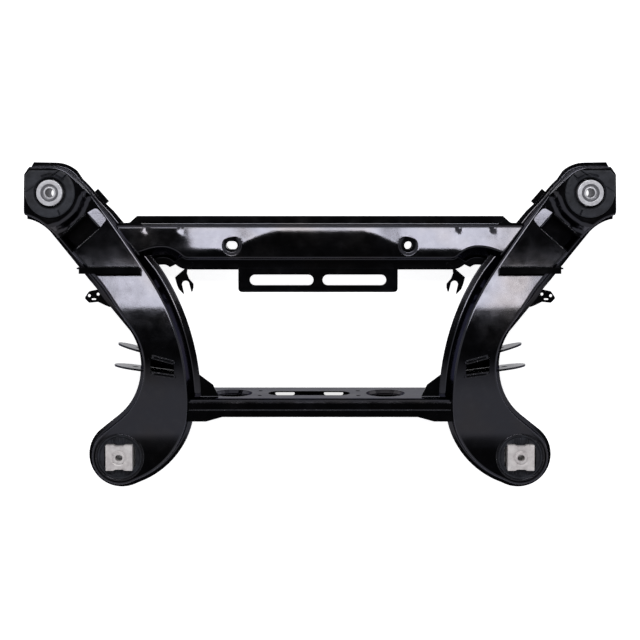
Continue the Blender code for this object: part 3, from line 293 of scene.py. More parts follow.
def shade(mesh):
    mesh.shade_smooth()
    mesh.set_sharp_from_angle(angle=SHARP_ANGLE)


def cut(thing, *cutters):
    for cutter in cutters:
        step = thing.modifiers.new("cut_" + cutter.name, "BOOLEAN")
        step.operation = "DIFFERENCE"
        step.solver = "MANIFOLD"
        step.object = cutter


def merged_points(thing):
    """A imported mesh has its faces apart; this joins them."""
    step = thing.modifiers.new("merge", "WELD")
    step.merge_threshold = MERGE_REACH
    return thing


def rounded_edges(thing, width=EDGE_ROUND, segments=2, angle=SHARP_ANGLE):
    step = thing.modifiers.new("edge_round", "BEVEL")
    step.width = width
    step.segments = segments
    step.limit_method = "ANGLE"
    step.angle_limit = angle
    step.use_clamp_overlap = True
    return thing


def even_shading(thing):
    """Large faces keep their own shading right up to their rounded edges."""
    step = thing.modifiers.new("even_shading", "WEIGHTED_NORMAL")
    step.mode = "FACE_AREA"
    step.weight = NORMAL_WEIGHT
    step.keep_sharp = True


def coat(mesh, finish):
    mesh.materials.clear()
    mesh.materials.append(finish)


def settled(thing):
    """The object with its modifiers worked into its mesh."""
    bpy.context.view_layer.update()
    done = thing.evaluated_get(bpy.context.evaluated_depsgraph_get())
    mesh = bpy.data.meshes.new_from_object(done)
    finish = thing.data.materials[0]
    thing.modifiers.clear()
    thing.data = mesh
    coat(mesh, finish)
    shade(mesh)
    return thing


def mirrored(thing, name):
    """A left-hand copy of a finished right-hand object, as its own mesh."""
    mesh = thing.data.copy()
    mesh.name = name
    mesh.transform(Matrix.Scale(-1.0, 4, (1.0, 0.0, 0.0)))
    mesh.flip_normals()
    return linked(name, mesh)


def smooth_step(share):
    share = np.clip(share, 0.0, 1.0)
    return share * share * (3.0 - 2.0 * share)


def through_stations(stations, at):
    """A smooth curve through (place, value) stations, read at the places given."""
    place, value = np.array(sorted(stations)).T
    slope = np.gradient(value, place)
    i = np.clip(np.searchsorted(place, at) - 1, 0, len(place) - 2)
    width = place[i + 1] - place[i]
    t = np.clip((at - place[i]) / width, 0.0, 1.0)
    return ((1 + 2 * t) * (1 - t) ** 2 * value[i] + t * (1 - t) ** 2 * width * slope[i]
            + t * t * (3 - 2 * t) * value[i + 1] + t * t * (t - 1) * width * slope[i + 1])


def rounded(corners, pitch=PITCH, bend=TURN):
    """A closed outline with an arc at each (x, y, radius, ...) corner; what follows is blended along it."""
    corners = np.array(corners, float)
    arcs = []
    for corner, after, before in zip(corners, np.roll(corners, -1, axis=0), np.roll(corners, 1, axis=0)):
        if not corner[2]:
            arcs.append(np.delete(corner, 2)[None])
            continue
        back = (before[:2] - corner[:2]) / np.linalg.norm(before[:2] - corner[:2])
        on = (after[:2] - corner[:2]) / np.linalg.norm(after[:2] - corner[:2])
        turn = math.pi - math.acos(np.clip(back @ on, -1.0, 1.0))
        reach = corner[2] * math.tan(turn / 2)
        steps = max(1, math.ceil(turn / bend), math.ceil(corner[2] * turn / pitch))
        centre = corner[:2] + (back + on) / np.linalg.norm(back + on) * corner[2] / math.cos(turn / 2)
        start = corner[:2] + back * reach - centre
        way = math.copysign(1.0, -back[0] * on[1] + back[1] * on[0])
        arc = []
        for k in range(steps + 1):
            angle = way * turn * k / steps
            c, s = math.cos(angle), math.sin(angle)
            spot = centre + np.array((c * start[0] - s * start[1], s * start[0] + c * start[1]))
            arc.append((*spot, *corner[3:]))
        arcs.append(np.array(arc))
    points = []
    for arc, following in zip(arcs, arcs[1:] + arcs[:1]):
        points.extend(arc)
        a, b = arc[-1], following[0]
        count = max(1, round(np.linalg.norm(b[:2] - a[:2]) / pitch))
        points.extend(a + (b - a) * k / count for k in range(1, count))
    points = np.array(points)
    apart = np.linalg.norm(points[:, :2] - np.roll(points[:, :2], 1, axis=0), axis=1)
    return points[apart > SHORTEST_EDGE]


def outward(points):
    """The unit normals of a closed outline that runs anticlockwise."""
    along = np.roll(points, -1, axis=0) - np.roll(points, 1, axis=0)
    along /= np.linalg.norm(along, axis=1)[:, None]
    return np.column_stack((along[:, 1], -along[:, 0]))


def inside(points, outline):
    """Which points lie within a closed outline."""
    x, y = points[:, 0:1], points[:, 1:2]
    x1, y1 = outline[:, 0], outline[:, 1]
    x2, y2 = np.roll(x1, -1), np.roll(y1, -1)
    crosses = (y1 > y) != (y2 > y)
    with np.errstate(divide="ignore", invalid="ignore"):
        meets = (x2 - x1) * (y - y1) / (y2 - y1) + x1
    return (crosses & (x < meets)).sum(axis=1) % 2 == 1


def distance_to(loop, points):
    """How far each point lies from a closed line."""
    start = loop[None, :, :2]
    along = np.roll(loop[:, :2], -1, axis=0)[None] - start
    reach = ((points[:, None] - start) * along).sum(axis=2) / np.maximum((along ** 2).sum(axis=2), 1e-12)
    nearest = start + along * np.clip(reach, 0.0, 1.0)[:, :, None]
    return np.linalg.norm(points[:, None] - nearest, axis=2).min(axis=1)


def circle(x, y, radius, count=STEPS):
    turn = np.linspace(0.0, 2 * math.pi, count, endpoint=False)
    return np.column_stack((x + radius * np.cos(turn), y + radius * np.sin(turn)))


def slot(x, y, half, radius, count=48):
    """An outline with round ends, long in X."""
    turn = np.linspace(-math.pi / 2, math.pi / 2, count // 2 + 1)
    right = np.column_stack((x + half + radius * np.cos(turn), y + radius * np.sin(turn)))
    left = np.column_stack((x - half - radius * np.cos(turn), y - radius * np.sin(turn)))
    return np.vstack((right, left))


def face_mesh(border, holes, spots, pitch):
    """Triangles over a face, between its border and its holes, with extra spots that it passes through."""
    loops = [border[:, :2], *holes]
    low, high = border[:, :2].min(axis=0), border[:, :2].max(axis=0)
    counts = np.maximum(1, np.round((high - low) / pitch)).astype(int)
    rows = (np.linspace(low[axis], high[axis], counts[axis] + 1) for axis in (0, 1))
    grid = np.stack(np.meshgrid(*rows), axis=-1).reshape(-1, 2)
    grid = grid[inside(grid, border)]
    for hole in holes:
        grid = grid[~inside(grid, hole)]
    for loop in loops:
        grid = grid[distance_to(loop, grid) > RIM_CLEAR * pitch]
    for spot in spots:
        apart = np.linalg.norm(grid[:, None] - spot[None], axis=2).min(axis=1)
        grid = grid[apart > RIM_CLEAR * pitch]
    edges, start = [], 0
    for loop in loops:
        count = len(loop)
        edges.extend((start + k, start + (k + 1) % count) for k in range(count))
        start += count
    points = np.vstack((*loops, *spots, grid))
    found, _, faces, *_ = delaunay_2d_cdt([Vector(p) for p in points], edges, [], 1, 1e-7)
    found = np.array([tuple(p) for p in found])
    middles = np.array([found[list(f)].mean(axis=0) for f in faces])
    keep = np.ones(len(faces), bool)
    for hole in holes:
        keep &= ~inside(middles, hole)
    return found, [tuple(f) for f, kept in zip(faces, keep) if kept]


def wall_rows(width, rise):
    """Outsets and heights of a wall with a fillet at its foot and top, for each place on an outline."""
    top, foot = np.minimum(TOP_FILLET, TOP_SHARE * width), np.minimum(FOOT_FILLET, FOOT_SHARE * width)
    both = top + foot
    low, high = np.full(len(width), LEAST_SLOPE), np.full(len(width), math.radians(90))
    for _ in range(HALVINGS):
        slope = (low + high) / 2
        run = both * np.sin(slope) + (rise - both * (1 - np.cos(slope))) / np.tan(slope)
        low, high = np.where(run > width, slope, low), np.where(run > width, high, slope)
    rows = []
    for k in range(FOOT_ROWS):
        turn = slope * k / (FOOT_ROWS - 1)
        rows.append((width - foot * np.sin(turn), foot * (1 - np.cos(turn))))
    for k in range(TOP_ROWS):
        turn = slope * (1 - k / (TOP_ROWS - 1))
        rows.append((top * np.sin(turn), rise - top * (1 - np.cos(turn))))
    return rows


def bands(rings, count):
    """Quads from each ring of so many points to the next one."""
    starts = [(ring * count, k, (k + 1) % count) for ring in range(rings) for k in range(count)]
    return [(row + a, row + b, row + b + count, row + a + count) for row, a, b in starts]


def pressed_skin(corners, face, foot, holes=(), spots=(), extra=0.0, pitch=PITCH):
    """The outer surface of a pressing: a flange, a sloped wall and a face, as points and faces.

    Each corner is (x, y, radius, flange width, wall width) on the edge of the face. The functions face
    and foot give the height of the face and of the flange at any place. A face below its foot makes a pan.
    """
    base = rounded(corners, pitch)
    normals = outward(base[:, :2])
    flange, wall = base[:, 2] + extra, base[:, 3]
    low, high = foot(base), face(base)
    way = np.sign(high - low)
    rows = wall_rows(wall, np.abs(high - low))
    plans = [base[:, :2] + normals * (share * flange + wall)[:, None] for share in (1.0, FLANGE_HOLD)]
    plans += [base[:, :2] + normals * out[:, None] for out, _ in rows]
    plans.append(base[:, :2] - normals * FACE_HOLD)
    heights = [low, low] + [low + way * up for _, up in rows]
    count = len(base)
    points = [at_height(plan, height) for plan, height in zip(plans[:-1], heights)]
    inner, triangles = face_mesh(plans[-1], holes, spots, max(pitch, FACE_PITCH))
    points.append(at_height(inner, face(inner)))
    rings = len(plans) - 1
    return np.vstack(points), bands(rings, count) + [tuple(count * rings + i for i in f) for f in triangles]


def vertex_normals(points, faces):
    normals = np.zeros_like(points)
    for f in faces:
        a, b, c = points[list(f[:3])]
        normals[list(f)] += np.cross(b - a, c - a)
    return normals / np.linalg.norm(normals, axis=1)[:, None]


def closed_faces(faces, count):
    """The faces, the same ones turned over on the points count further on, and a band along their rim."""
    made = list(faces) + [tuple(i + count for i in reversed(f)) for f in faces]
    edges = dict.fromkeys((a, b) for f in faces for a, b in zip(f, f[1:] + f[:1]))
    made.extend((b, a, a + count, b + count) for a, b in edges if (b, a) not in edges)
    return made


def thicken(name, skin, sheet):
    """A painted sheet behind a skin; a negative thickness grows on the side it faces."""
    points, faces = skin
    behind = points - vertex_normals(points, faces) * sheet
    shell = add(name, np.vstack((points, behind)), closed_faces(faces, len(points)), PAINT)
    return rounded_edges(shell, angle=PRESSED_SHARP)


def prism(name, outline, low, high, place=Matrix()):
    """A cutter: an outline raised from low to high in its own frame."""
    flat, triangles = face_mesh(outline[:, :2], (), (), WIDE_PITCH)
    points = [place @ Vector(p) for p in two_levels(flat, high, low)]
    return add(name, points, closed_faces(triangles, len(flat)))


def at_height(flat, height):
    """Points in plan with a height, or a height each, as points in space."""
    return np.column_stack((flat, np.broadcast_to(height, len(flat))))


def two_levels(flat, high, low):
    return np.vstack((at_height(flat, high), at_height(flat, low)))


def turned(name, profile, x, y, finish, soft=PROFILE_R, steps=STEPS):
    """A closed (radius, height) profile turned about an upright axis, with its corners softened.

    A third value in the profile is a corner's own radius.
    """
    profile = rounded([spot if len(spot) == 3 else (*spot, soft) for spot in profile], 1.0, PROFILE_TURN)
    angles = [2 * math.pi * k / steps for k in range(steps)]
    points = [(x + radius * math.cos(angle), y + radius * math.sin(angle), height)
              for angle in angles for radius, height in profile]
    faces = [tuple(i % len(points) for i in f) for f in bands(steps, len(profile))]
    return add(name, points, faces, finish)


def raised(name, outline, low, top, holes, finish, pitch):
    """An outline, less its holes, raised from a level to a height that varies from place to place."""
    flat, triangles = face_mesh(outline, holes, (), pitch)
    return add(name, two_levels(flat, top(flat), low), closed_faces(triangles, len(flat)), finish)


def bead(path, radius, chance):
    """Points and faces of a lumpy weld bead along a path, closed at both ends."""
    path = np.array(path, float)
    along = np.concatenate(((0.0,), np.cumsum(np.linalg.norm(np.diff(path, axis=0), axis=1))))
    at = np.linspace(0.0, along[-1], max(8, int(along[-1] / BEAD_PITCH)))
    spine = np.column_stack([np.interp(at, along, path[:, axis]) for axis in range(3)])
    ahead = np.gradient(spine, axis=0)
    ahead /= np.linalg.norm(ahead, axis=1)[:, None]
    side = np.cross(ahead, (0.0, 0.0, 1.0))
    steep = np.linalg.norm(side, axis=1) < 0.2
    side[steep] = np.cross(ahead[steep], (1.0, 0.0, 0.0))
    side /= np.linalg.norm(side, axis=1)[:, None]
    up = np.cross(side, ahead)
    ripple = np.abs(np.sin(math.pi * at / BEAD_RIPPLE + chance.uniform(0.0, math.pi)))
    end = np.clip(np.minimum(at, at[-1] - at) / (BEAD_TAPER * radius), BEAD_TIP, 1.0)
    lumps = BEAD_LOW + BEAD_SWELL * ripple + chance.normal(0.0, BEAD_SCATTER, len(at))
    size = radius * lumps * np.sqrt(end * (2.0 - end))
    turn = np.linspace(0.0, 2 * math.pi, BEAD_SIDES, endpoint=False)
    rings = (np.cos(turn)[None, :, None] * side[:, None] + np.sin(turn)[None, :, None] * up[:, None])
    points = (spine[:, None] + rings * size[:, None, None]).reshape(-1, 3)
    faces = [tuple(range(BEAD_SIDES)), tuple(range(len(points) - BEAD_SIDES, len(points)))[::-1]]
    faces.extend((a, d, c, b) for a, b, c, d in bands(len(at) - 1, BEAD_SIDES))
    return points, faces


def beads(name, paths, seed):
    """One piece made of weld beads, each given as a path and a radius."""
    chance = np.random.default_rng(seed)
    points, faces, count = [], [], 0
    for path, radius in paths:
        spots, sides = bead(path, radius, chance)
        points.append(spots)
        faces.extend(tuple(i + count for i in f) for f in sides)
        count += len(spots)
    return add(name, np.vstack(points), faces, WELD)


def upright(origin, along):
    """A frame with X along a direction in plan, Y upright and Z along the plate's normal."""
    x, y = Vector((*along, 0.0)).normalized(), Vector((0.0, 0.0, 1.0))
    made = Matrix((x, y, x.cross(y))).transposed().to_4x4()
    made.translation = Vector((*origin, 0.0))
    return made


# Materials

# How strongly the paint mirrors at a glancing angle, against a plain coat
COAT_TINT = (0.36, 0.36, 0.38, 1.0)


class Nodes:
    """Short calls to build the node tree of a material, in the object's own metres, or of a world."""

    def __init__(self, name, kind="materials"):
        self.owner = getattr(bpy.data, kind).new(name)
        self.owner.use_nodes = True
        self.tree = self.owner.node_tree
        self.shader = self.tree.nodes["Background" if kind == "worlds" else "Principled BSDF"]
        self.coordinates = self.node("TexCoord")
        self.place = self.coordinates["Object"]

    def feed(self, socket, value):
        if isinstance(value, bpy.types.NodeSocket):
            self.tree.links.new(value, socket)
        else:
            socket.default_value = value

    def node(self, kind, inputs=(), **settings):
        """The outputs of a new node; inputs pairs each socket with a number, a colour or another output."""
        made = self.tree.nodes.new("ShaderNode" + kind)
        for key, value in settings.items():
            setattr(made, key, value)
        for key, value in dict(inputs).items():
            self.feed(made.inputs[key], value)
        return made.outputs

    def noise(self, scale, detail, rough=0.55):
        inputs = {"Vector": self.place, "Scale": scale, "Detail": detail, "Roughness": rough}
        return self.node("TexNoise", inputs)["Fac"]

    def tone(self, scale, detail, low, high, to_low=0.0, to_high=1.0, rough=0.55):
        """A noise value, spread from one range to another."""
        return self.range(self.noise(scale, detail, rough), low, high, to_low, to_high)

    def spots(self, scale, radius, keep):
        """1 in scattered round spots: one in each cell of the given scale, for a share of the cells."""
        cells = self.node("TexVoronoi", {"Vector": self.place, "Scale": scale})
        near = self.range(cells["Distance"], radius, radius / 2, 0.0, 1.0)
        red = self.node("SeparateColor", {"Color": cells["Color"]})["Red"]
        return self.math("MULTIPLY", near, self.math("LESS_THAN", red, keep))

    def range(self, value, low, high, to_low, to_high):
        inputs = {"Value": value, "From Min": low, "From Max": high, "To Min": to_low, "To Max": to_high}
        return self.node("MapRange", inputs)["Result"]

    def math(self, operation, a, b):
        return self.node("Math", {0: a, 1: b}, operation=operation)["Value"]

    def mix(self, share, a, b):
        a, b = ((*c, 1.0) if isinstance(c, tuple) else c for c in (a, b))
        return self.node("Mix", {"Factor": share, 6: a, 7: b}, data_type="RGBA")[2]

    def bump(self, height, strength, distance, under=None):
        inputs = {"Strength": strength, "Distance": distance, "Height": height}
        return self.node("Bump", {**inputs, "Normal": under} if under else inputs)["Normal"]

    def set(self, **values):
        for key, value in values.items():
            self.feed(self.shader.inputs[key.replace("_", " ").title().replace("Ior", "IOR")], value)
        return self.owner


def black_paint():
    """Gloss black paint over pressed steel: slow waves, fine orange peel, dust and a few specks."""
    n = Nodes("black_paint")
    dust = n.tone(60.0, 6.0, 0.52, 0.78, rough=0.7)
    tint = n.mix(n.tone(9.0, 2.0, 0.45, 0.70), (0.040, 0.040, 0.047), (0.046, 0.043, 0.045))
    colour = n.mix(n.math("MULTIPLY", dust, 0.35), tint, (0.060, 0.060, 0.066))
    specks = n.spots(420.0, 0.16, 0.012)
    rough = n.tone(26.0, 5.0, 0.35, 0.72, 0.10, 0.20, rough=0.65)
    waves = n.bump(n.noise(16.0, 2.0, 0.5), 0.22, 0.0022)
    peel = n.bump(n.noise(420.0, 2.0, 0.5), 0.20, 0.00022, waves)
    normal = n.bump(specks, 0.7, 0.0006, peel)
    return n.set(base_color=colour, metallic=1.0, specular_tint=COAT_TINT, roughness=rough, normal=normal)


def weld_paint():
    """The same paint over weld beads: rougher, with scale and bright glints."""
    n = Nodes("weld_paint")
    colour = n.mix(n.tone(300.0, 4.0, 0.50, 0.75), (0.045, 0.045, 0.050), (0.090, 0.086, 0.088))
    rough = n.tone(220.0, 3.0, 0.35, 0.7, 0.10, 0.32)
    normal = n.bump(n.noise(700.0, 3.0, 0.6), 0.5, 0.0005)
    return n.set(base_color=colour, metallic=1.0, specular_tint=COAT_TINT, roughness=rough, normal=normal)


def rubber():
    """Matte black rubber with a faint bloom and a fine grain."""
    n = Nodes("rubber")
    bloom = n.tone(45.0, 5.0, 0.35, 0.75, rough=0.65)
    colour = n.mix(bloom, (0.010, 0.0105, 0.0135), (0.030, 0.032, 0.040))
    rough = n.tone(120.0, 3.0, 0.3, 0.7, 0.42, 0.66)
    grain = n.bump(n.noise(900.0, 3.0, 0.6), 0.35, 0.0004)
    return n.set(base_color=colour, specular_ior_level=0.2, roughness=rough, normal=grain)


def zinc():
    """Plated steel, faced on a lathe, with faint stains; painted shade darkens the bore and the recessed
    dish.
    """
    n = Nodes("zinc")
    split = n.node("SeparateXYZ", {"Vector": n.place})
    across = n.math("SUBTRACT", n.math("ABSOLUTE", split["X"], 0.0), FRONT_BUSH[0])
    along = n.math("SUBTRACT", split["Y"], FRONT_BUSH[1])
    squares = n.math("ADD", n.math("MULTIPLY", across, across), n.math("MULTIPLY", along, along))
    off = n.math("SQRT", squares, 0.0)
    # Painted shade: inside the bore the colour goes nearly black, and the metal share rises to 1 there.
    bore = n.range(off, SLEEVE_BORE_R + 0.0003, SLEEVE_BORE_R - 0.0002, 0.0, 1.0)
    # Painted shade in the recessed dish of the sleeve's face: the plate colour is darkened there.
    dish_shade = n.math("MULTIPLY", n.range(off, SLEEVE_DISH_R + 0.0006, SLEEVE_DISH_R - 0.0010, 0.0, 1.0),
                    n.range(off, SLEEVE_NOSE_R - 0.0004, SLEEVE_NOSE_R + 0.0010, 0.0, 1.0))
    stain = n.tone(90.0, 5.0, 0.40, 0.75, rough=0.6)
    plate = n.mix(stain, (0.58, 0.58, 0.61), (0.42, 0.41, 0.43))
    # faced is the plate colour with the painted dish shade; colour lays the painted bore shade over it.
    faced = n.mix(n.math("MULTIPLY", dish_shade, 0.75), plate, (0.12, 0.12, 0.13))
    colour = n.mix(bore, faced, (0.010, 0.010, 0.010))
    rough = n.tone(240.0, 3.0, 0.3, 0.7, 0.30, 0.46)
    normal = n.bump(n.noise(800.0, 2.0), 0.15, 0.0002)
    bore_shade_metal = n.range(bore, 0.0, 1.0, 0.65, 1.0)
    return n.set(base_color=colour, metallic=bore_shade_metal, specular_tint=COAT_TINT, roughness=rough, normal=normal)


def cast_alloy():
    """A sand-cast block: warm light grey and matte, with open pits darkened by painted shade."""
    n = Nodes("cast_alloy")
    stain = n.tone(70.0, 6.0, 0.38, 0.72, rough=0.65)
    # The pits are bumped in, and their colour goes dark grey as painted shade.
    pits = n.spots(260.0, 0.30, 0.10)
    light = n.mix(stain, (0.62, 0.59, 0.58), (0.40, 0.37, 0.37))
    colour = n.mix(pits, light, (0.10, 0.09, 0.09))
    rough = n.tone(160.0, 3.0, 0.3, 0.7, 0.45, 0.66)
    grain = n.bump(n.noise(520.0, 4.0, 0.65), 0.6, 0.0005)
    normal = n.bump(n.math("SUBTRACT", 1.0, pits), 0.8, 0.0008, grain)
    return n.set(base_color=colour, metallic=0.35, roughness=rough, normal=normal)


PAINT = black_paint()
WELD = weld_paint()
RUBBER = rubber()
ZINC = zinc()
ALLOY = cast_alloy()
FINISHES = {"black_paint": PAINT, "rubber": RUBBER, "zinc": ZINC, "cast_alloy": ALLOY}


def place_piece(piece, *nodes):
    """The piece rides on the frame's only body, and stands for the nodes named."""
    even_shading(piece)
    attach(piece, "root")
    if nodes:
        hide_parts(*nodes)


def place_pair(piece, node=None):
    """A finished right-hand piece and its left-hand copy."""
    other = mirrored(piece, piece.name[:-1] + "L")
    for each, hand in ((piece, "_R"), (other, "_L")):
        place_piece(each, *([node + hand] if node else []))


# Arms

def tangent_corner(start, end):
    """Where two tangents of the boss meet, given the angles of their touching points."""
    middle, half = math.radians((start + end) / 2), math.radians((end - start) / 2)
    reach = BOSS_FACE_R / math.cos(half)
    return REAR_BUSH[0] + reach * math.cos(middle), REAR_BUSH[1] + reach * math.sin(middle)


def boss_tangent_at(x, angle):
    """The height in plan, at x, of the boss's tangent that touches it at an angle."""
    normal = math.radians(angle)
    along = (BOSS_FACE_R - (x - REAR_BUSH[0]) * math.cos(normal)) / math.sin(normal)
    return REAR_BUSH[1] + along


TAIL_ANGLE = -115.5
NECK_ANGLE = 50.0

# Each corner: x, y, arc radius, flange width, wall width
ARM_CORNERS = (
    (0.5800, 0.3000, 0.003, 0.0015, 0.0025),
    (0.5722, 0.3118, 0.001, 0.0015, 0.0025),
    (0.5706, 0.3120, 0.0, 0.006, 0.006),
    (0.5073, 0.3120, 0.052, 0.0055, 0.0057),
    (0.4620, 0.2707, 0.200, 0.0035, 0.0030),
    (0.4260, 0.2190, 0.0, 0.006, 0.009),
    (INNER_X, -0.0075, 0.420, 0.009, 0.0185),
    (INNER_X, boss_tangent_at(INNER_X, TAIL_ANGLE), 0.159, 0.005, 0.009),
    (*tangent_corner(TAIL_ANGLE, 0.0), BOSS_FACE_R, 0.005, 0.008),
    (*tangent_corner(0.0, NECK_ANGLE), BOSS_FACE_R, 0.005, 0.008),
    (WAIST_X, boss_tangent_at(WAIST_X, NECK_ANGLE), 0.140, 0.005, 0.007),
    (WAIST_X, boss_tangent_at(WAIST_X, NECK_ANGLE) + WAIST_LENGTH, 0.132, 0.004, 0.007),
    (0.4274, 0.0862, 0.300, 0.005, 0.015),
    (0.5486, 0.2149, 0.100, 0.004, 0.007),
    (0.5794, 0.2243, 0.0, 0.005, 0.007),
    (0.5815, 0.2262, 0.001, 0.0015, 0.0025),
)


def arm_foot(places):
    return through_stations(ARM_FOOT, places[:, 1])


def pad_rim(angle):
    """How far the pad's rim stands from the bush, where 0 points inwards and a right angle to the rear."""
    inner = PAD_INNER_FLARE * smooth_step((PAD_INNER_ANGLE - angle) / PAD_INNER_WAY)
    outer = PAD_OUTER_FLARE * smooth_step((angle - PAD_OUTER_ANGLE) / PAD_OUTER_WAY)
    return PAD_RIM + inner + outer


def pad_share(places):
    """1 on the raised pad, 0 beyond the foot of its rim."""
    dx = FRONT_BUSH[0] - places[:, 0]
    dy = FRONT_BUSH[1] - places[:, 1]
    rim = pad_rim(np.arctan2(dy, dx))
    off = np.hypot(np.maximum(dx, 0.0), np.maximum(dy, 0.0))
    return smooth_step((rim + PAD_FALL - off) / PAD_FALL)


def arm_top(places):
    return arm_foot(places) + ARM_RISE + PAD_RISE * pad_share(places)


def arm_seam(places):
    """The lower shell's flange lies under the upper one."""
    return arm_foot(places) - 2 * ARM_SHEET - WELD_GAP


def arm_bottom(places):
    return through_stations(ARM_FLOOR, places[:, 1])


def height_at(rule, x, y):
    return float(rule(np.array(((x, y),), float))[0])


PAD_Z = height_at(arm_top, *FRONT_BUSH)
BOSS_Z = height_at(arm_top, *REAR_BUSH)
RECESS_Z = height_at(arm_top, *UPPER_POCKET)


def pocket_place():
    """X out along the link, Y towards the pad, Z up."""
    place = Matrix.Translation((*UPPER_POCKET, 0.0))
    return place @ Matrix.Rotation(UPPER_POCKET_TURN, 4, "Z")


def pocket_outline():
    """The plan of the upper link pocket: a wide channel with a narrower shelf at its inner end."""
    half, shelf = UPPER_POCKET_WIDTH / 2 + WELD_GAP, UPPER_SHELF_WIDTH / 2 + WELD_GAP
    out, neck, end = UPPER_POCKET_OUT, -UPPER_POCKET_IN, -UPPER_SHELF_IN - WELD_GAP
    return rounded(((out, half, 0.0), (neck, half, 0.004), (end, shelf, 0.008),
                    (end, -shelf, 0.008), (neck, -half, 0.004), (out, -half, 0.0)), 1.0)


def lower_plate_place(which):
    inner, tip = LOWER_PLATES[which]
    along = (tip[0] - inner[0], tip[1] - inner[1])
    return upright(inner, along), math.hypot(*along)


def lower_plate_slot(which):
    """A cutter that leaves room in the shells for a link plate."""
    place, length = lower_plate_place(which)
    gap = WELD_GAP
    top = height_at(arm_top, *LOWER_PLATES[which][0]) + PLATE_PROUD + gap
    bottom, crown, root = EAR_Z - EAR_R - gap, EAR_Z + EAR_R + gap, LINK_ROOT + gap
    outline = rounded(((-gap, bottom, 0.010), (length + gap, bottom, EAR_R + gap),
                       (length + gap, crown, EAR_R + gap), (root, crown, 0.002),
                       (root, top, 0.006), (-gap, top, 0.006)), 1.0)
    half = LINK_SHEET / 2 + gap
    return prism("plate_slot_" + which, outline, -half, half, place)


def link_window(name, near, far, inset, low, high):
    """A cutter for the space that the lower link works in, between its two plates."""

    def along(which, x):
        (x1, y1), (x2, y2) = LOWER_PLATES[which]
        return y1 + (y2 - y1) * (x - x1) / (x2 - x1)

    outline = ((near, along("rear", near) + inset), (far, along("rear", far) + inset),
               (far, along("front", far) - inset), (near, along("front", near) - inset))
    return prism(name, np.array(outline), low, high)


def make_arms():
    upper = pressed_skin(ARM_CORNERS, arm_top, arm_foot, pitch=ARM_PITCH)
    lower = pressed_skin(ARM_CORNERS, arm_bottom, arm_seam, extra=LOWER_FLANGE_EXTRA)
    shell = thicken("arm_upper_skin_R", upper, ARM_SHEET)
    pan = thicken("arm_lower_skin_R", lower, -ARM_SHEET)
    high = PAD_Z + ARM_RISE
    bores = [prism("front_bush_bore", circle(*FRONT_BUSH, FRONT_TUBE_R + WELD_GAP), 0.0, high),
             prism("rear_bush_bore", circle(*REAR_BUSH, REAR_TUBE_R + WELD_GAP), 0.0, high)]
    window = prism("upper_window", pocket_outline(), RECESS_Z - POCKET_WINDOW_Z, RECESS_Z + POCKET_WINDOW_Z,
                   pocket_place())
    slots = [lower_plate_slot(which) for which in LOWER_PLATES]
    near = LOWER_PLATES["front"][0][0] + LINK_SHEET
    seam = height_at(arm_seam, WAIST_X, LOWER_PLATES["rear"][0][1])
    top_window = link_window("link_window_top", near, WAIST_X - LINK_BRIDGE, 0.0, seam, seam + ARM_RISE * 2)
    side_window = link_window("link_window_side", WAIST_X - LINK_BRIDGE, WAIST_X + LINK_SIDE_OUT, LINK_POST,
                              EAR_Z - LINK_SIDE_HALF, EAR_Z + LINK_SIDE_HALF)
    cut(shell, *bores, window, top_window, *slots)
    cut(pan, *bores, side_window, *slots)
    pieces = settled(shell), settled(pan)
    for cutter in (*bores, window, top_window, side_window, *slots):
        bpy.data.objects.remove(cutter, do_unlink=True)
    for piece, node in zip(pieces, ("arm_upper_shell", "arm_lower_shell")):
        place_pair(piece, node)


# Front crossmember

def front_corners(side, heel):
    """The plan that the two pressings share; side and heel are the widths of the flange along the rear."""
    # From the front's middle to the rear's: distance in from the end, y, arc radius, flange and wall width
    half = ((0.0535, FRONT_CREST_Y, 0.0, 0.0152, 0.009), (0.0380, FRONT_CREST_Y, 0.0, 0.0015, 0.009),
            (0.0, FRONT_CREST_Y, 0.010, 0.0015, 0.009), (0.0, 0.128, 0.010, side, 0.026),
            (0.088, 0.160, 0.100, side, 0.026), (0.128, 0.160, 0.0573, side, 0.026),
            (0.152, 0.138, 0.012, heel, 0.008))
    right = [(FRONT_HALF - back, *rest) for back, *rest in half]
    left = [(-x, *rest) for x, *rest in right]
    return right[2::-1] + left + right[:2:-1]


def bolt_share(places):
    """1 on the floor of a bolt's dish, 0 outside it."""
    off = np.hypot(np.abs(places[:, 0]) - BOLT_X, places[:, 1] - BOLT_Y)
    return smooth_step((BOLT_DISH_R - off) / (BOLT_DISH_R - BOLT_FLOOR_R))


def ridge_y(x):
    """Where the level part of the top ends and the part that falls away to the front begins."""
    return RIDGE_Y + RIDGE_BULGE * smooth_step((RIDGE_END_X - np.abs(x)) / RIDGE_WAY)


def front_top(places):
    """The top of the front crossmember; its left end falls away less, and small dents notch its crest."""
    x, y = places[:, 0], places[:, 1]
    share = bolt_share(places)
    tilt = FRONT_TILT - (FRONT_TILT - LEFT_TILT) * smooth_step((LEFT_TILT_X - x) / LEFT_TILT_WAY)
    past = y - ridge_y(x)
    soft = (past + np.sqrt(past * past + RIDGE_SOFT ** 2)) / 2
    dents = sum(np.exp(-((np.abs(x) - centre) / DENT_HALF) ** 2) for centre in CREST_DENTS)
    notch = DENT_DEPTH * dents * smooth_step((y - FRONT_CREST_Y + DENT_REACH) / DENT_REACH)
    return FRONT_TOP_Z - BOLT_DISH_DEPTH * share - tilt * soft * (1.0 - share) - notch


def level(height):
    """A height function that is the same everywhere."""
    return lambda places: np.full(len(places), height)


def bolt_holes(clearance):
    """The slots for the bolts, each with its own half length and end radius, left one first."""
    return [slot(side * BOLT_X, BOLT_Y, half, end + clearance) for side, (half, end) in BOLT_HOLES.items()]


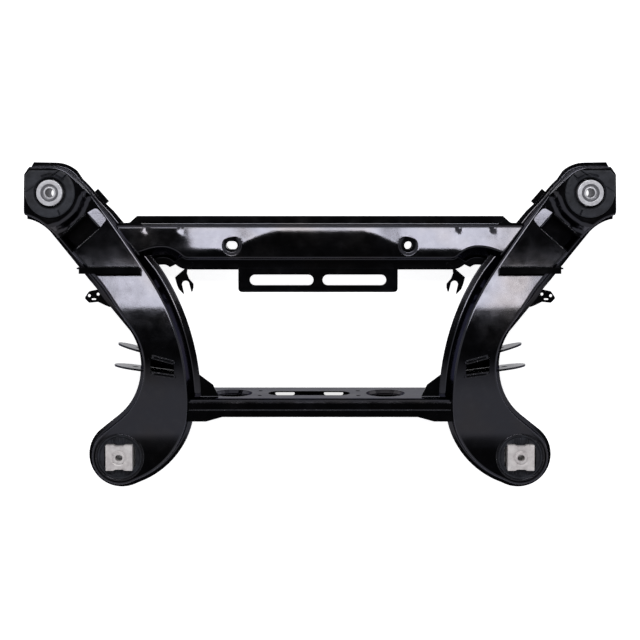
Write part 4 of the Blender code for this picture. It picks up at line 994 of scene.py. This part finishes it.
def make_front_crossmember():
    rings = [circle(side * BOLT_X, BOLT_Y, radius) for side in BOLT_HOLES
             for radius in np.linspace(BOLT_FLOOR_R, BOLT_DISH_R, 6)]
    upper = pressed_skin(front_corners(*UPPER_FLANGES), front_top, level(FRONT_SEAM_Z), bolt_holes(0.0),
                         rings, pitch=CREST_PITCH)
    lower = pressed_skin(front_corners(*LOWER_FLANGES), level(FRONT_BOTTOM_Z),
                         level(FRONT_SEAM_Z - 2 * FRONT_SHEET - WELD_GAP), bolt_holes(BOLT_HOLE_EXTRA))
    place_piece(settled(thicken("front_cover", upper, FRONT_SHEET)), "front_crossmember_upper")
    place_piece(settled(thicken("front_pan", lower, -FRONT_SHEET)), "front_crossmember_lower")


# Body mounts

def soft_window(value, low, high, way):
    """1 between two values and 0 outside them, with a soft step at each."""
    return smooth_step((value - low) / way + 0.5) * smooth_step((high - value) / way + 0.5)


def rubber_flange_outline():
    """A disc that is cut straight at the pad's front edge and fills the pad's outer front corner."""
    start = math.pi - math.asin(RUBBER_TOP / RUBBER_FLANGE_R)
    turn = np.linspace(start, 2 * math.pi, STEPS)
    disc = RUBBER_FLANGE_R * np.column_stack((np.cos(turn), np.sin(turn)))
    corner = rounded(((RUBBER_FLANGE_R, 0.001, 0.0), (RUBBER_FLANGE_R, RUBBER_CHAMFER[1], 0.003),
                      (RUBBER_CHAMFER[0], RUBBER_TOP, 0.003), (-0.019, RUBBER_TOP, 0.0)), 0.002)
    on_chord = (corner[:, 0] <= -0.019) | (corner[:, 1] <= 0.0011 + 0.03 * (corner[:, 0] < 0.045))
    return np.vstack((disc, corner[~on_chord, :2])) + FRONT_BUSH


def make_front_bush():
    """The bonded bush in the pad: tube, flanged rubber with a moulded groove, and a faced sleeve."""
    x, y, top = *FRONT_BUSH, PAD_Z
    low = top - FRONT_TUBE_DROP
    inner = FRONT_TUBE_R - FRONT_TUBE_WALL
    tube = turned("front_tube_fine_R", ((inner, low), (FRONT_TUBE_R, low), (FRONT_TUBE_R, top), (inner, top)),
                  x, y, PAINT)
    seat, crown = top + WELD_GAP, top + WELD_GAP + RUBBER_FLANGE_T
    body, bore, moat = inner - WELD_GAP, SLEEVE_R + WELD_GAP, top - RUBBER_MOAT_DEPTH
    outline = rubber_flange_outline()

    def flange_top(places):
        dx, dy = x - places[:, 0], places[:, 1] - y
        off, angle = np.hypot(dx, dy), np.arctan2(dy, dx)
        around = soft_window(angle, *GROOVE_ARC, math.radians(2))
        sink = GROOVE_DEPTH * around * np.exp(-((off - GROOVE_R) / GROOVE_HALF) ** 4)
        for spot in SLIT_ANGLES:
            across = off * np.sin(angle - spot)
            along = soft_window(off * np.cos(angle - spot), *SLIT_SPAN, 0.0005)
            sink = sink + SLIT_DEPTH * along * np.exp(-(across / SLIT_HALF) ** 4)
        sink = sink + SECTOR_SINK * soft_window(angle, SLIT_ANGLES[1], SLIT_ANGLES[0], math.radians(1))
        for spot in PIP_ANGLES:
            apart = np.hypot(dx - PIP_PLACE * math.cos(spot), dy - PIP_PLACE * math.sin(spot))
            sink = sink - PIP_RISE * np.exp(-(apart / PIP_SPREAD) ** 2)
        edge = np.minimum(distance_to(outline, places), off - RUBBER_MOAT_R)
        roll = np.clip(1.0 - edge / FLANGE_ROLL, 0.0, 1.0)
        return crown - sink - FLANGE_ROLL * (1.0 - np.sqrt(1.0 - roll * roll * ROLL_SHARE))

    rubber = raised("front_rubber_fine_R", outline, seat, flange_top, (circle(x, y, RUBBER_MOAT_R),), RUBBER,
                    RUBBER_PITCH)
    plug = turned("plug", (
        (bore, low + 0.002), (body, low + 0.002), (body, seat + 0.001, 0.0),
        (RUBBER_MOAT_R - 0.001, seat + 0.001, 0.0), (RUBBER_MOAT_R - 0.002, moat), (bore, moat)),
        x, y, RUBBER)
    head, foot = top + SLEEVE_PROUD, top + SLEEVE_PROUD - SLEEVE_DROP
    dish = head - SLEEVE_DISH_DEPTH
    sleeve = turned("front_sleeve_fine_R", (
        (SLEEVE_BORE_R, foot), (SLEEVE_R, foot), (SLEEVE_R, head, 0.0012), (SLEEVE_DISH_R, head, 0.0010),
        (SLEEVE_NOSE_R + 0.0020, dish, 0.0008), (SLEEVE_NOSE_R, dish + 0.0018, 0.0006),
        (SLEEVE_BORE_R, dish + 0.0018, 0.0009)), x, y, ZINC, 0.0006)
    nubs = []
    for turn in NUB_ANGLES:
        spot = (x - NUB_R * math.cos(turn), y + NUB_R * math.sin(turn))
        nubs.append(turned("nub", ((0.0003, moat), (0.0020, moat), (0.0015, crown + 0.0002),
                                   (0.0003, crown + 0.0006)), *spot, RUBBER, 0.0002, 16))
    place_pair(merged(rubber, [plug, *nubs]), "front_bush_rubber")
    place_pair(tube, "front_bush_tube")
    place_pair(sleeve, "front_bush_sleeve")


def merged(piece, others):
    """One mesh of a piece and the small bodies that belong to it."""
    work = bmesh.new()
    work.from_mesh(piece.data)
    for other in others:
        work.from_mesh(other.data)
        bpy.data.objects.remove(other, do_unlink=True)
    work.to_mesh(piece.data)
    work.free()
    shade(piece.data)
    return piece


def core_notch(half, reach):
    """Two corners of the dip in the middle of the block's front edge, with their radii."""
    return (0.45 * half, reach, 0.004), (0.28 * half, reach - CORE_NOTCH, 0.003)


def about_rear_bush(ring):
    return rounded([(REAR_BUSH[0] + px, REAR_BUSH[1] + py, r) for px, py, r in ring], 0.004, PROFILE_TURN)


def core_outline():
    """The plan of the rear bush's core: a square block whose front and rear edges dip in the middle."""
    half, reach = CORE_WIDTH / 2, CORE_LENGTH / 2
    quarter = ((half, reach, 0.0012), *core_notch(half, reach))
    front = quarter + tuple((-px, py, r) for px, py, r in reversed(quarter))
    return about_rear_bush(front + tuple((-px, -py, r) for px, py, r in front))


def rubber_hole():
    """The space in the rear rubber: the core's place and a void at each side of it."""
    half, reach = CORE_WIDTH / 2 + WELD_GAP, CORE_LENGTH / 2 + WELD_GAP
    out, way = half + VOID_WIDTH, VOID_LENGTH / 2
    quarter = (*core_notch(half, reach)[::-1], (half, reach, 0.0006), (half, way, 0.0006), (out, way, 0.0015))
    right = quarter + tuple((px, -py, r) for px, py, r in reversed(quarter))
    return about_rear_bush((right + tuple((-px, -py, r) for px, py, r in right))[::-1])


def make_rear_bush():
    """The bonded bush in the boss: tube, ribbed rubber with a raised rim, and a cast block with a ring."""
    x, y = REAR_BUSH
    rim = BOSS_Z + REAR_TUBE_PROUD
    low = rim - REAR_TUBE_LENGTH
    inner = REAR_TUBE_R - REAR_TUBE_WALL
    tube = turned("rear_tube_fine_R", ((inner, low), (REAR_TUBE_R, low), (REAR_TUBE_R, rim, 0.0011),
                                       (inner, rim, 0.0009)), x, y, PAINT)

    def rubber_top(places):
        dx, dy = places[:, 0] - x, places[:, 1] - y
        off = np.hypot(dx, dy)
        ribs = smooth_step((np.cos(dx * 2 * math.pi / RIB_WAY) + RIB_SHARE) / RIB_SOFT) * RIB_RISE
        ribs *= smooth_step((np.abs(dy) - CORE_LENGTH / 2) / RIB_FADE["core"])
        ribs *= smooth_step((RIB_END - np.abs(dx)) / RIB_FADE["end"])
        ribs *= smooth_step((RUBBER_RIM_R - off) / RIB_FADE["rim"])
        edge = RUBBER_RIM_RISE * smooth_step((off - RUBBER_RIM_R) / RUBBER_RIM_WAY)
        return rim - REAR_RUBBER_SINK + ribs + edge

    rubber = raised("rear_rubber_fine_R", circle(x, y, inner - WELD_GAP), low + REAR_RUBBER_SINK, rubber_top,
                    (rubber_hole(),), RUBBER, RUBBER_PITCH)
    head = rim + CORE_PROUD

    def core_top(places):
        off = np.hypot(places[:, 0] - x, places[:, 1] - y)
        ring = smooth_step((CORE_RING_R + 0.75 * CORE_RING_WAY - off) / CORE_RING_WAY) * CORE_RING_RISE
        moat = np.exp(-((off - CORE_RING_R - CORE_MOAT_OUT) / CORE_MOAT_HALF) ** 2) * CORE_MOAT
        return head + ring - moat

    block = raised("rear_core_fine_R", core_outline(), low + CORE_DROP, core_top,
                   (slot(x, y, CORE_BORE_HALF, CORE_BORE_R - CORE_BORE_HALF),), ALLOY, CORE_PITCH)
    place_pair(tube, "rear_bush_tube")
    place_pair(settled(rounded_edges(rubber)), "rear_bush_rubber")
    place_pair(settled(rounded_edges(block, CORE_EDGE, 3, CORE_SHARP)), "rear_bush_core")


# Link brackets

def make_upper_bracket():
    """The folded box of the upper link, with its shelf falling away towards the arm's inner edge."""
    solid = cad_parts["upper_link_bracket_R"]
    mesh = solid.data.copy()
    piece = linked("upper_bracket_fine_R", mesh)
    coat(mesh, PAINT)
    back = pocket_place().inverted()
    for vertex in mesh.vertices:
        spot = back @ vertex.co
        share = (-UPPER_POCKET_IN - spot.x) / (UPPER_SHELF_IN - UPPER_POCKET_IN)
        if share > SHELF_START and vertex.co.z > RECESS_Z - SHELF_DROP:
            vertex.co.z += SHELF_RISE + SHELF_FALL * (1.0 - 2.0 * min(max(share, 0.0), 1.0))
    place_pair(settled(rounded_edges(merged_points(piece))), "upper_link_bracket")


# Weld beads

def arm_side(low, high, height):
    """Points along the arm's inner side, between two places in Y, where its wall has the given height."""
    base = rounded(ARM_CORNERS)
    normals = outward(base[:, :2])
    keep = (normals[:, 0] < -0.2) & (base[:, 1] > low) & (base[:, 1] < high)
    base, normals = base[keep], normals[keep]
    share = np.clip((height - arm_foot(base)) / ARM_RISE, 0.0, 1.0)
    spots = base[:, :2] + normals * (base[:, 3] * (1.0 - share) + BEAD_OUT["wall"])[:, None]
    path = at_height(spots, height)
    return path[np.argsort(path[:, 1])]


def across_arm(y):
    """Points over the arm's top at one place in Y, from its inner edge to its outer one."""
    base = rounded(ARM_CORNERS)
    near = base[np.abs(base[:, 1] - y) < 1.2 * PITCH, 0]
    x = np.linspace(near.min() + STOP_BEAD_IN[0], near.max() - STOP_BEAD_IN[1], 24)
    places = np.column_stack((x, np.full(len(x), y)))
    return at_height(places, arm_top(places) + SEAM_RISE)


def over_arm(place, span, off):
    """Points on the arm's top along X of a frame, set off from that axis in the frame's Y and Z."""
    spots = np.array([tuple(place @ Vector((along, *off))) for along in np.linspace(*span, 20)])
    spots[:, 2] = arm_top(spots[:, :2]) + BEAD_RISE
    return spots


def make_beads():
    joint = arm_side(*JOINT_SPAN, FRONT_TOP_Z - JOINT_DROP)
    joint[:, 2] = front_top(joint[:, :2]) + JOINT_RISE
    paths = [(joint, BEAD_R["joint"]), (across_arm(STOP_Y + BEAD_OUT["stop"]), BEAD_R["stop"])]
    for which in LOWER_PLATES:
        place, _ = lower_plate_place(which)
        for side in (-1, 1):
            off = (0.0, side * (LINK_SHEET / 2 + BEAD_OUT["link"]))
            paths.append((over_arm(place, LINK_SPAN, off), BEAD_R["link"]))
    for side in (-1, 1):
        off = (side * (UPPER_POCKET_WIDTH / 2 + BEAD_OUT["pocket"]), 0.0)
        paths.append((over_arm(pocket_place(), POCKET_SPAN, off), BEAD_R["pocket"]))
    ring = circle(*REAR_BUSH, REAR_TUBE_R + BEAD_OUT["tube"], 120)
    ring = np.vstack((ring, ring[:1]))
    paths.append((at_height(ring, BOSS_Z + BEAD_RISE), BEAD_R["tube"]))
    paths.append((arm_side(*REAR_SPAN, REAR_HEIGHT), BEAD_R["rear"]))
    place_pair(beads("arm_welds_R", paths, seed=7))
    y = REAR_FRONT_Y - REAR_HEIGHT * math.tan(REAR_LEAN) - REAR_RETURN
    x = np.linspace(-SEAM_HALF, SEAM_HALF, 80)
    seam = at_height(np.column_stack((x, np.full(len(x), y))), REAR_HEIGHT + SEAM_RISE)
    place_piece(beads("rear_seam_weld", [(seam, BEAD_R["seam"])], seed=11))


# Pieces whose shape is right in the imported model

def dress_nodes():
    """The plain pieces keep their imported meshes, with rounded edges and the finishes."""
    for name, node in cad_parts.items():
        if node.hide_render:
            continue
        old = node.data.materials[0].name if node.data.materials else "black_paint"
        finish = next((made for key, made in FINISHES.items() if old.startswith(key)), PAINT)
        coat(node.data, finish)
        even_shading(rounded_edges(merged_points(node)))


# Light, floor and camera

def make_lamp():
    """A softbox of the given radiance, aimed at the object."""
    width, length = BOX_SIZE
    data = bpy.data.lights.new("front_box", "AREA")
    data.shape = "RECTANGLE"
    data.size, data.size_y = width, length
    data.energy = BOX_LEVEL * math.pi * width * length
    made = linked("front_box", data)
    made.location = BOX_PLACE
    made.rotation_euler = (Vector(BOX_AIM) - Vector(BOX_PLACE)).to_track_quat("-Z", "Y").to_euler()


def studio_world():
    """A dim ceiling that turns into pale walls away from the zenith."""
    n = Nodes("studio", "worlds")
    rise = n.node("SeparateXYZ", {"Vector": n.coordinates["Generated"]})["Z"]
    step = n.node("MapRange", {"Value": rise, **SKY_STEP}, interpolation_type="SMOOTHSTEP")["Result"]
    bpy.context.scene.world = n.set(strength=step, color=SKY_TINT)


def make_floor():
    """A white floor that looks white to the camera and in reflections, and keeps the object's shadow."""
    points = [(x * FLOOR_HALF, y * FLOOR_HALF, 0.0) for x, y in ((-1, -1), (1, -1), (1, 1), (-1, 1))]
    n = Nodes("floor")
    path = n.node("LightPath")
    seen = n.math("MAXIMUM", n.math("MAXIMUM", path["Is Camera Ray"], path["Is Glossy Ray"]),
                  path["Is Transmission Ray"])
    glow = n.node("Emission", {"Strength": n.math("MULTIPLY", seen, FLOOR_LEVEL)})
    n.set(base_color=(FLOOR_LEVEL, FLOOR_LEVEL, FLOOR_LEVEL, 1.0), roughness=0.9)
    total = n.node("AddShader", {0: n.shader.outputs[0], 1: glow[0]})
    n.feed(n.tree.nodes["Material Output"].inputs["Surface"], total[0])
    add("floor", points, ((0, 1, 2, 3),), n.owner)


def make_camera():
    data = bpy.data.cameras.new("camera")
    data.lens = CAMERA_LENS
    data.sensor_width = 36.0
    made = linked("camera", data)
    made.location = CAMERA_PLACE
    aim = Vector(CAMERA_AIM) - Vector(CAMERA_PLACE)
    made.rotation_euler = (math.atan2(aim.y, -aim.z), 0.0, 0.0)
    bpy.context.scene.camera = made


make_arms()
make_front_crossmember()
make_front_bush()
make_rear_bush()
make_upper_bracket()
make_beads()
dress_nodes()
make_floor()
studio_world()
make_lamp()
make_camera()
bpy.context.scene.view_settings.view_transform = "Standard"
